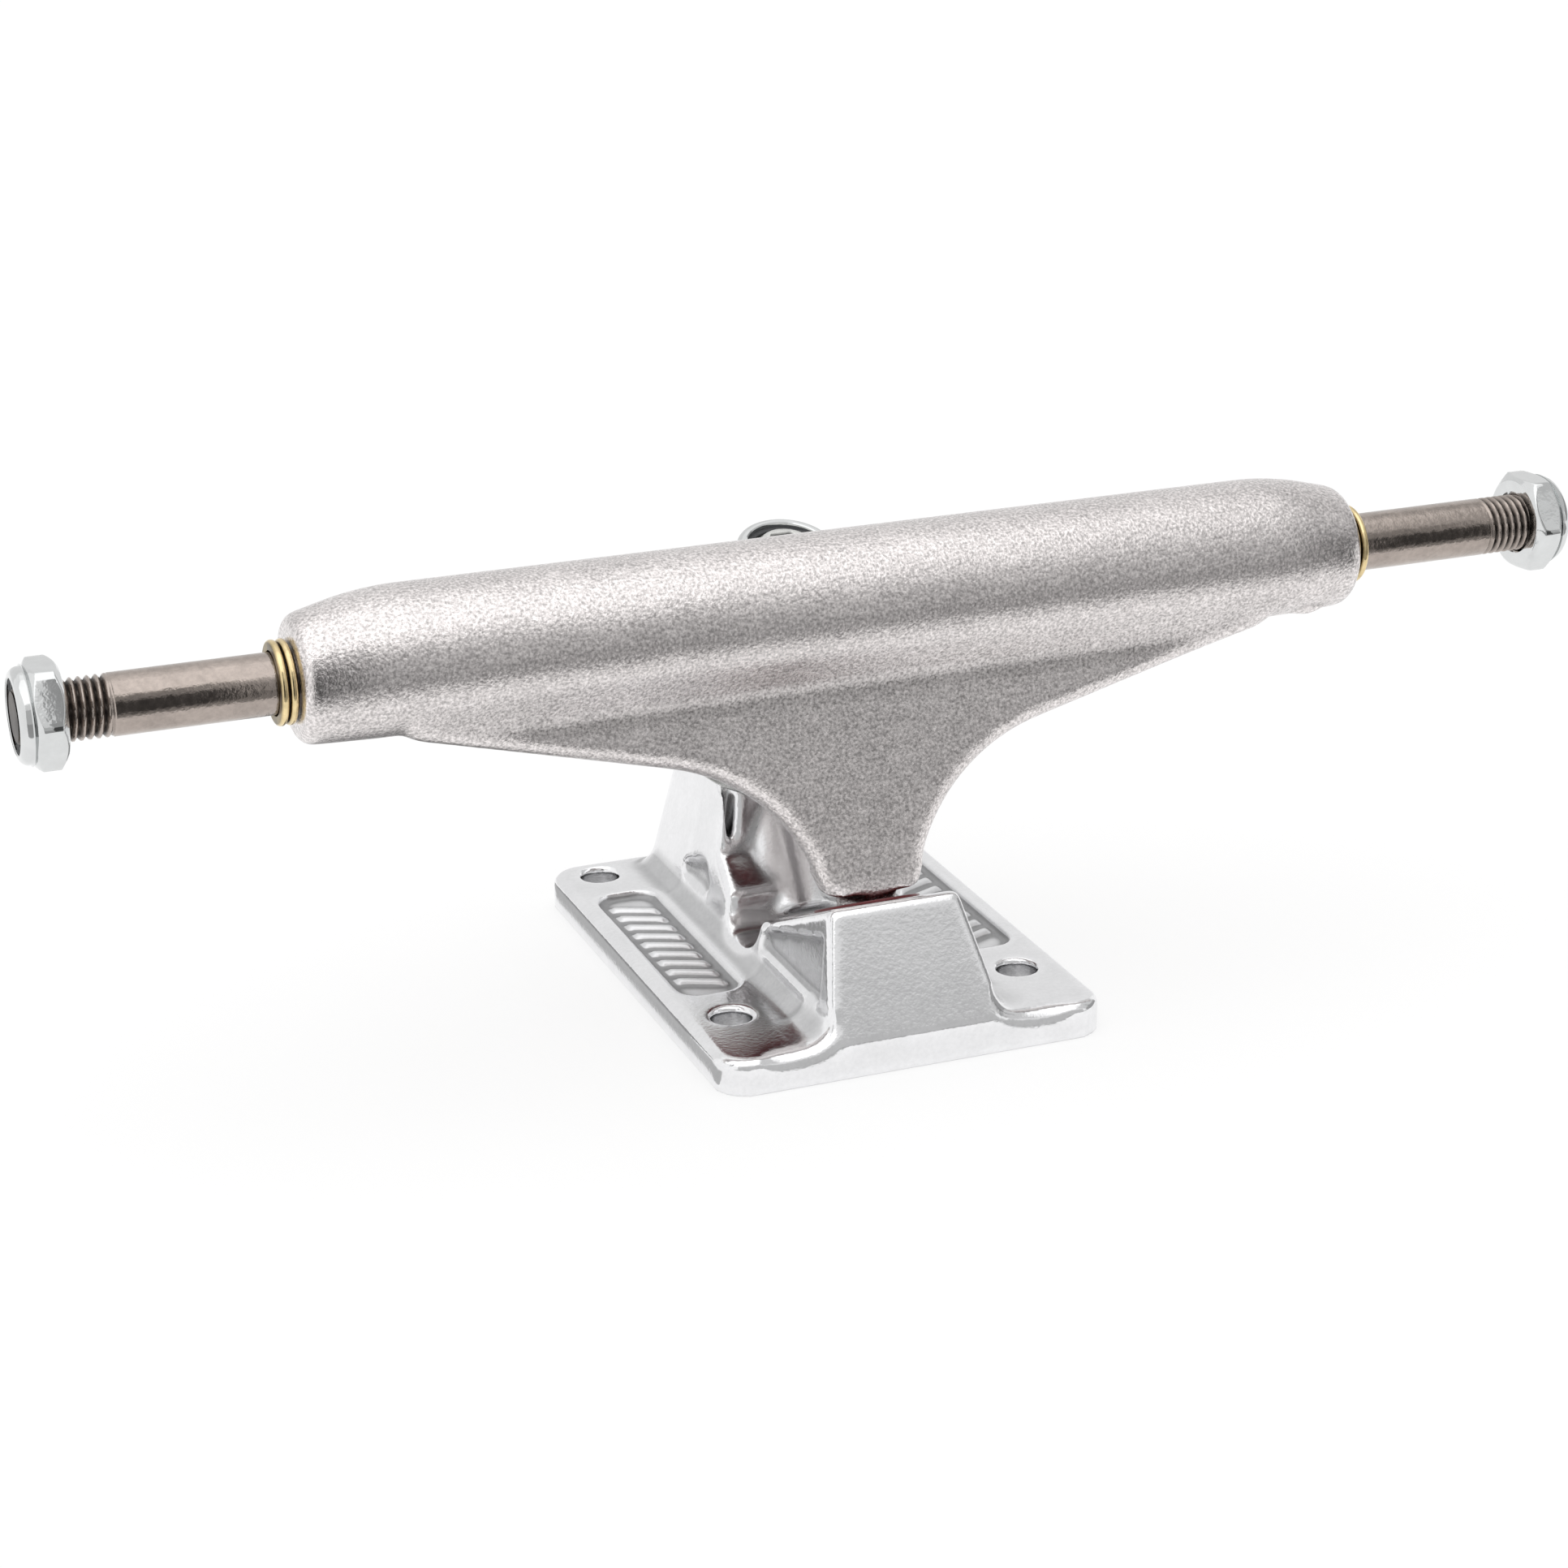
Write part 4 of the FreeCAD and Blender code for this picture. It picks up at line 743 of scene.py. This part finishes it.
def nut_rings(base, flats, hexagon, collar, collar_radius, collar_round, chamfer, bore, lip,
              lip_thickness, insert_radius, insert_height):
    """Closed stack of rings for a lock nut that stands on its base height."""
    flat = hexagon_radii(flats)
    inner = corner_radius(flats) - chamfer
    top = base + hexagon
    rim = top + collar
    floor = rim - lip_thickness - insert_height
    bevel = [(offset, soft_least(flat, inner + NUT_CONE * offset, CONE_SOFTNESS))
             for offset in np.linspace(0, chamfer / NUT_CONE, CONE_RINGS)]
    rings = [(base + BORE_BEVEL, bore), (base, bore + BORE_BEVEL), (base, inner - 0.15)]
    rings += [(base + offset, radii) for offset, radii in bevel]
    rings += [(top - offset, radii) for offset, radii in bevel[::-1]]
    rings.append((top + STEP_UP, collar_radius + FILLET))    # twice, to keep the top's shading flat
    rings += [(top + FILLET - (FILLET - STEP_UP) * math.cos(turn),
               collar_radius + FILLET - FILLET * math.sin(turn))
              for turn in np.linspace(0, QUARTER_TURN, 5)]
    rings += [(rim - collar_round * (1 - math.sin(turn)),
               collar_radius - collar_round * (1 - math.cos(turn)))
              for turn in np.linspace(0, QUARTER_TURN, 9)]
    rings += [(rim, lip + 0.15), (rim - 0.15, lip), (rim - lip_thickness, lip),
              (rim - lip_thickness, insert_radius), (floor, insert_radius), (floor, bore)]
    return rings


def nut_insert(low, high, bore, outer):
    """Half section of the nylon ring."""
    return [(bore, low, 0.1), (outer, low, 0.1), (outer, high, 0.1), (bore, high, 0.25)]


# %% [markdown]
# ## The three nuts
# Both axle nuts are alike, low and wide. The kingpin's nut is taller, with a longer collar. The
# nylon ring is a piece of its own in each, because it has another colour, and it leaves a hair's
# breadth of room all round so that its faces don't lie in the nut's.

# %% Axle nuts and the kingpin nut
AXLE_NUT = dict(flats=12.7, hexagon=4.2, collar=1.6, collar_radius=6.1, collar_round=1.25,
                chamfer=1.4, bore=4.0, lip=4.75, lip_thickness=0.5, insert_radius=5.2,
                insert_height=1.5)
KINGPIN_NUT = dict(flats=14.3, hexagon=7.3, collar=3.0, collar_radius=6.9, collar_round=0.9,
                   chamfer=1.0, bore=4.79, lip=5.5, lip_thickness=0.7, insert_radius=6.1,
                   insert_height=2.2)
AXLE_NUT_BASE, KINGPIN_NUT_BASE = 102.5, 24.6
INSERT_GAP = 0.02


def add_nut(name, sizes, base, placement, body, node):
    nut = shell(nut_rings(base, **sizes), placement, closed=True)
    add_piece(name, nut, body, CHROME, [node])
    under_lip = base + sizes["hexagon"] + sizes["collar"] - sizes["lip_thickness"]
    low, high = under_lip - sizes["insert_height"] + INSERT_GAP, under_lip - INSERT_GAP
    ring = turned(nut_insert(low, high, sizes["bore"], sizes["insert_radius"] - INSERT_GAP),
                  placement)
    add_piece(name + "_ring", ring, body, NYLON, [node + "_insert"])


for side_name, side in (("left", -1), ("right", 1)):
    add_nut(side_name + "_axle_lock_nut", AXLE_NUT, AXLE_NUT_BASE, on_axle(side),
            side_name + "_nut", side_name + "_axle_nut")
add_nut("kingpin_lock_nut", KINGPIN_NUT, KINGPIN_NUT_BASE, ON_KINGPIN,
        "kingpin_nut_body", "kingpin_nut")
print("nuts made: 3")


# %% [markdown]
# ## Speed washers
# Two thin washers keep the wheel's bearing off the hanger on each side. They are stamped and
# plated in yellow zinc, and tumbling has rounded their rims on both faces. Seen from the side,
# the rounded rim shines and the flats between two washers stay dark, so the flats are marked as
# hollows and painted darker, as painted shade.

# %% Speed washers
WASHER_BORE, WASHER_RIM, WASHER_THICKNESS = 4.15, 5.45, 1.0


def add_speed_washer(side_name, side, place, start):
    end = start + WASHER_THICKNESS
    section = [(WASHER_BORE, start, 0.12), (WASHER_RIM, start, 0.45),
               (WASHER_RIM, end, 0.45), (WASHER_BORE, end, 0.12)]
    name = side_name + "_" + place + "_speed_washer"
    mesh = turned(section, on_axle(side))
    # The flats inside the rim get painted shade.
    mark_shaded_hollows(mesh, on_axle(side), unshaded_radius=WASHER_RIM - 0.05, depth=0.3)
    add_piece(name + "_disc", mesh, side_name + "_" + place + "_washer", GOLD_ZINC, [name])


for side_name, side in (("left", -1), ("right", 1)):
    for place, start in (("inner", 74.1), ("outer", 75.3)):
        add_speed_washer(side_name, side, place, start)
print("speed washers made: 4")


# %% [markdown]
# ## Kingpin
# The kingpin is a heavy bolt. Its hexagonal head sits in the baseplate, and its threaded end
# stands out of the lock nut with a hexagonal socket for a key. The socket is part of the same
# stack of rings: past the end face the rings go back down, with the six flats of the key. A wide
# chamfer runs round the end, and painted shade darkens the thread and the socket but not the
# bright end face.

# %% Turn the kingpin
KINGPIN_END = KINGPIN_NUT_BASE + KINGPIN_NUT["hexagon"] + KINGPIN_NUT["collar"] + 0.3
KEY_FLATS, SOCKET_DEPTH = 4.76, 3.0


def make_kingpin():
    shank, grip, head, head_flats, head_bevel = 4.76, 19.4, 4.4, 14.3, 0.9
    end, thread_start = KINGPIN_END, KINGPIN_END - 13.0
    inner = corner_radius(head_flats) - head_bevel
    head_radii = np.roll(hexagon_radii(head_flats), STEPS // 12)
    foot = -grip - head
    rings = [(foot, inner * 0.5), (foot, inner - 0.1)]
    rings += [(foot + offset, soft_least(head_radii, inner + 2 * offset, CONE_SOFTNESS))
              for offset in np.linspace(0, 0.56, 8)]
    rings += [(-grip - 0.1, head_radii), (-grip, head_radii - 0.1), (-grip, shank + 0.3),
              (-grip + 0.3, shank), (thread_start, shank)]
    rings += threaded(thread_start + 0.1, end - 1.2, thread_start, shank - 0.01)
    socket = np.roll(hexagon_radii(KEY_FLATS, 0.05), STEPS // 12)
    rings += [(end - 1.1, shank - 0.3), (end - 0.1, 3.6), (end, 3.45), (end, socket + 0.25),
              (end - 0.25, socket), (end - SOCKET_DEPTH, socket),
              (end - SOCKET_DEPTH, socket * 0.5)]
    mesh = shell(rings, ON_KINGPIN, closed=False)
    # Painted shade darkens the thread and the socket, not the end face.
    mark_shaded_hollows(mesh, ON_KINGPIN, unshaded_radius=shank - 0.1, depth=0.35, unshaded_above=end - 0.15)
    return add_piece("kingpin_bolt", mesh, "base", ZINC, ["kingpin"])


KINGPIN = make_kingpin()
print("kingpin faces:", len(KINGPIN.data.polygons))


# %% [markdown]
# ## Cup washers
# The bushings sit in dished washers, pressed from sheet with the rim turned over, which keep them
# round the kingpin. The dish of the lower one opens upwards, and that of the upper one downwards.

# %% Cup washers
BARREL_LOW, BARREL_HIGH = 1.2, 11.4
CONE_LOW, CONE_HIGH = 15.5, 23.3
CUP_BORE = 4.96


def cup_washer(low, high, tip, radius, thickness):
    """Half section of a dish: low is its flat back, tip the edge of its rim."""
    inside = radius - thickness / 2
    return [(CUP_BORE, low, 0.2), (radius, low, 0.55), (radius, tip, 0.25),
            (inside, tip, 0.25), (inside, high, 0.1), (CUP_BORE, high, 0.2)]


for name, low, high, tip, radius, thickness in (
        ("bottom_cup_washer", 0.0, BARREL_LOW, 2.2, 11.2, 1.2),
        ("top_cup_washer", KINGPIN_NUT_BASE, CONE_HIGH, 22.8, 10.4, 1.3)):
    mesh = turned(cup_washer(low, high, tip, radius, thickness), ON_KINGPIN)
    add_piece(name + "_dish", mesh, "base", ZINC, [name])
print("cup washers made: 2")


# %% [markdown]
# ## Bushings
# The bushings are the springs of the truck. A barrel-shaped one sits under the hanger's ring and
# a cone-shaped one above it. Tightening squeezes them, so their sides bulge, which the rounded
# corners of their sections give.

# %% Bushings
BUSHING_BORE = 5.01
BARREL = [(BUSHING_BORE, BARREL_LOW, 0.3), (10.45, BARREL_LOW, 0.8), (10.45, 2.4, 0.5),
          (11.35, 3.7, 2.0), (11.35, 6.4, 2.0), (10.6, 8.0, 0.8), (10.6, BARREL_HIGH, 0.7),
          (BUSHING_BORE, BARREL_HIGH, 0.3)]
CONE = [(BUSHING_BORE, CONE_LOW, 0.3), (10.6, CONE_LOW, 0.7), (10.6, 18.7, 0.8),
        (10.55, 20.3, 1.6), (9.0, 22.6, 1.2), (8.2, CONE_HIGH, 0.4),
        (BUSHING_BORE, CONE_HIGH, 0.3)]


for name, section, fixed, moving in (("bottom_bushing", BARREL, BARREL_LOW, BARREL_HIGH),
                                     ("top_bushing", CONE, CONE_HIGH, CONE_LOW)):
    mesh = turned(section, ON_KINGPIN)
    piece = add_piece(name + "_urethane", mesh, None, URETHANE, [name])
    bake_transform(piece)
print("bushings made: 2")


# %% [markdown]
# ## Pivot cup
# The hanger's nose rests in a urethane cup that is pressed into the pivot block. Only its brim
# shows, as a thin red line, but the whole cup is made, because the nose uncovers more of it as it
# turns.

# %% Pivot cup
PIVOT_LEAN = math.radians(24.9)
BLOCK_FACE_Y, BLOCK_FACE_Z = -33.5, 20.4
CUP_Y = -24.0
CUP_Z = BLOCK_FACE_Z - (CUP_Y - BLOCK_FACE_Y) * math.tan(PIVOT_LEAN)
ON_PIVOT = (Matrix.Translation(Vector((0, CUP_Y, CUP_Z)) * MM)
            @ Matrix.Rotation(-PIVOT_LEAN, 4, "X"))
CUP = [(0.4, -10.57), (6.5, -10.57, 0.3), (6.5, 0.0), (7.1, 0.02, 0.1), (7.1, 0.4, 0.15),
       (5.0, 0.4, 0.2), (4.5, -2.25, 0.5), (4.5, -9.0, 4.2), (0.4, -9.0)]
add_piece("pivot_cup_urethane", turned(CUP, ON_PIVOT, closed=False), "base", URETHANE,
          ["pivot_cup"])
print("pivot cup at y, z in mm:", CUP_Y, round(CUP_Z, 2))


# %% [markdown]
# ## Room
# A product photograph of bright metal is mostly a picture of the room. Camera and metal both see
# a white room here, dimmer near the floor and brightest overhead. Plain surfaces get an even
# light instead, because Light Path tells the two kinds of ray apart. An environment photograph
# would do this job too, but a ramp from floor to ceiling is simpler to change.

# %% World
SKY = ((-90, 0.50), (0, 0.50), (30, 0.70), (50, 1.05), (65, 1.30), (90, 1.45))
SKY_STRENGTH = 2.0       # a ramp's colours stop at 1, so they are halved there and doubled here
EVEN_LIGHT = (0.5, 0.5, 0.5, 1)


def seen_directly(tree):
    """1 for the rays that look at a surface or at the room: from the camera, metal or glass."""
    rays = add_node(tree, "LightPath").outputs
    return sum_of(tree, "MAXIMUM", rays["Is Camera Ray"],
                  sum_of(tree, "MAXIMUM", rays["Is Glossy Ray"], rays["Is Transmission Ray"]))


def make_world():
    world = bpy.data.worlds.new("studio")
    scene.world = world
    world.use_nodes = True
    tree = world.node_tree
    way = add_node(tree, "SeparateXYZ")
    feed(tree, way.inputs[0], add_node(tree, "TexCoord").outputs["Generated"])
    ramp = add_node(tree, "ValToRGB")
    while len(ramp.color_ramp.elements) < len(SKY):
        ramp.color_ramp.elements.new(0.5)
    for element, (elevation, light) in zip(ramp.color_ramp.elements, SKY):
        element.position = (math.sin(math.radians(elevation)) + 1) / 2
        element.color = [light / SKY_STRENGTH] * 3 + [1]
    feed(tree, ramp.inputs[0], spread(tree, way.outputs["Z"], -1.0, 1.0, 0.0, 1.0))
    seen = add_node(tree, "Mix", data_type="RGBA")
    feed(tree, seen.inputs["Factor"], seen_directly(tree))
    feed(tree, seen.inputs[6], ramp.outputs["Color"])
    seen.inputs[7].default_value = EVEN_LIGHT
    background = tree.nodes["Background"]
    feed(tree, background.inputs["Color"], seen.outputs[2])
    background.inputs["Strength"].default_value = SKY_STRENGTH


make_world()
print("world:", scene.world.name)


# %% [markdown]
# ## Floor
# The floor in the photograph is pure white with the faintest shadow. White paint alone would come
# out grey under this soft light, so the camera and the metal see a dimmer paint with a glow
# added. The shadow still darkens the paint's part of it. To all other rays the floor is a plain
# pale one.

# %% Floor
FLOOR_REACH, FLOOR_DROP = 3.0, 0.05 * MM
FLOOR_PAINT, SEEN_PAINT, SEEN_GLOW = (0.8, 0.8, 0.8, 1), (0.36, 0.36, 0.36, 1), 0.66


def make_floor():
    mesh = bpy.data.meshes.new("floor")
    corners = [(x * FLOOR_REACH, y * FLOOR_REACH, 0)
               for x, y in ((-1, -1), (1, -1), (1, 1), (-1, 1))]
    mesh.from_pydata(corners, [], [(0, 1, 2, 3)])
    floor = bpy.data.objects.new("floor", mesh)
    scene.collection.objects.link(floor)
    floor.location.z = SOLID_BOX[0].z - FLOOR_DROP
    material, tree, shader = new_material("pale_floor")
    shader.inputs["Base Color"].default_value = FLOOR_PAINT
    shader.inputs["Roughness"].default_value = 0.9
    shader.inputs["Specular IOR Level"].default_value = 0.0
    output = tree.nodes["Material Output"]
    shade = add_node(tree, "BsdfDiffuse")
    shade.inputs["Color"].default_value = SEEN_PAINT
    glow = add_node(tree, "Emission")
    glow.inputs["Strength"].default_value = SEEN_GLOW
    both = add_node(tree, "AddShader")
    feed(tree, both.inputs[0], shade.outputs[0])
    feed(tree, both.inputs[1], glow.outputs[0])
    choice = add_node(tree, "MixShader")
    feed(tree, choice.inputs[0], seen_directly(tree))
    feed(tree, choice.inputs[1], shader.outputs[0])
    feed(tree, choice.inputs[2], both.outputs[0])
    feed(tree, output.inputs["Surface"], choice.outputs[0])
    mesh.materials.append(material)
    print("floor at z in mm:", round(floor.location.z / MM, 2))


make_floor()


# %% [markdown]
# ## Cards
# What gives bright metal its shape is what it mirrors, so cards are set up as a photographer
# would. A grey one on the floor in front and two on the wall behind the camera put a dark band
# between two bright ones on the round tube. The ceiling is bright on the left, and grey far out
# on the right, where the wall is dark too. Two small dark flags hang close in front of the axle's
# ends, so that the rods and nuts there mirror something darker than the white room. The last two
# cards lie on the floor beside the plate, as the shade that its polished side mirrors.

# %% Cards seen only in reflections
def add_card(name, corners, light):
    """A flat glowing card that only reflections see."""
    mesh = bpy.data.meshes.new(name)
    mesh.from_pydata([Vector(corner) * MM for corner in corners], [], [(0, 1, 2, 3)])
    card = bpy.data.objects.new(name, mesh)
    scene.collection.objects.link(card)
    for kind in ("camera", "diffuse", "shadow", "transmission", "volume_scatter"):
        setattr(card, "visible_" + kind, False)
    material, tree, shader = new_material(name + "_glow")
    glow = add_node(tree, "Emission")
    glow.inputs["Strength"].default_value = light
    feed(tree, tree.nodes["Material Output"].inputs["Surface"], glow.outputs[0])
    mesh.materials.append(material)


def on_floor(*corners):
    """Corners just above the floor."""
    height = SOLID_BOX[0].z / MM + 0.1
    return [(x, y, height) for x, y in corners]


def upright(y, left, right, low, high):
    """Corners of a card that stands across the view."""
    return [(left, y, low), (right, y, low), (right, y, high), (left, y, high)]


def overhead(z, left, right, front, back):
    """Corners of a card that hangs level."""
    return [(left, front, z), (right, front, z), (right, back, z), (left, back, z)]


# %% Set up the cards
CEILING, RIGHT_WALL, FRONT_WALL, BACK_WALL = 900, 2200, -900, 1300
FLAG_Y, FLAG_HEIGHTS = -60, (38, 74, 100)

add_card("front_floor_card",
         on_floor((-800, FRONT_WALL), (1000, FRONT_WALL), (300, -94), (-160, -94)), 0.36)
add_card("front_wall_card", upright(FRONT_WALL, -800, 1000, 0, 560), 0.53)
add_card("high_wall_card", upright(FRONT_WALL, -800, 1000, 560, 840), 0.78)
add_card("back_wall_card", upright(BACK_WALL, -1200, 1600, 0, 1400), 0.84)
add_card("top_card", overhead(CEILING, -1000, 420, -870, 240), 1.42)
add_card("far_top_card", overhead(CEILING, 600, RIGHT_WALL, -1500, 900), 0.62)
add_card("right_wall_card",
         [(RIGHT_WALL, y, z) for y, z in ((-1500, 0), (900, 0), (900, 900), (-1500, 900))], 0.35)
low, split, high = FLAG_HEIGHTS
for name, near, far in (("left_flag", -97, -72), ("right_flag", 99, 127)):
    add_card(name + "_low", upright(FLAG_Y, near, far, low, split), 0.07)
    add_card(name + "_high", upright(FLAG_Y, near, far, split, high), 0.36)
# Painted shadow: these two cards are the truck's own shade on the floor, seen only in reflections.
add_card("shade_card", on_floor((-34, -16), (-34, 52), (-64, 70), (-64, 2)), 0.30)
add_card("contact_shade_card", on_floor((-28.5, -38), (-28.5, 46), (-34, 52), (-34, -38)), 0.48)


# %% [markdown]
# ## Lamp
# The room itself gives most of the light. One weak softbox overhead is enough to give it a
# direction, and it is wide, so that the shadow on the floor stays soft.

# %% Lamps
def add_lamp(name, place, aim, size, power):
    light = bpy.data.lights.new(name, "AREA")
    light.shape = "RECTANGLE"
    light.size, light.size_y = size
    light.energy = power
    lamp = bpy.data.objects.new(name, light)
    scene.collection.objects.link(lamp)
    lamp.location = place
    lamp.rotation_euler = (Vector(aim) - Vector(place)).to_track_quat("-Z", "Y").to_euler()


add_lamp("overhead_softbox", (0.1, 0.15, 1.1), (0, 0, 0.04), (1.2, 0.7), 0.5)


# %% [markdown]
# ## Camera
# The view follows the photograph: from the front, about twenty degrees above the floor and twenty
# to the left, from half a metre away. The place and the turn were fitted on the four bolt holes.

# %% Camera
RIGHT = Vector((0.93092, -0.36506, -0.01104))
DOWN = Vector((-0.13698, -0.32098, -0.93713))
FORWARD = Vector((0.33856, 0.87390, -0.34881))
EYE = Vector((-168.372, -428.499, 196.302)) * MM
FOCAL_LENGTH, SENSOR_WIDTH = 81.72, 36.0

lens = bpy.data.cameras.new("camera")
lens.lens = FOCAL_LENGTH
lens.sensor_width = SENSOR_WIDTH
lens.clip_start, lens.clip_end = 0.01, 20.0
camera = bpy.data.objects.new("camera", lens)
scene.collection.objects.link(camera)
turn = Matrix((RIGHT, -DOWN, -FORWARD)).transposed().to_4x4()
camera.matrix_world = Matrix.Translation(EYE) @ turn
scene.camera = camera
scene.view_settings.view_transform = "Standard"
print("camera to bolt holes in mm:", round(EYE.length / MM))
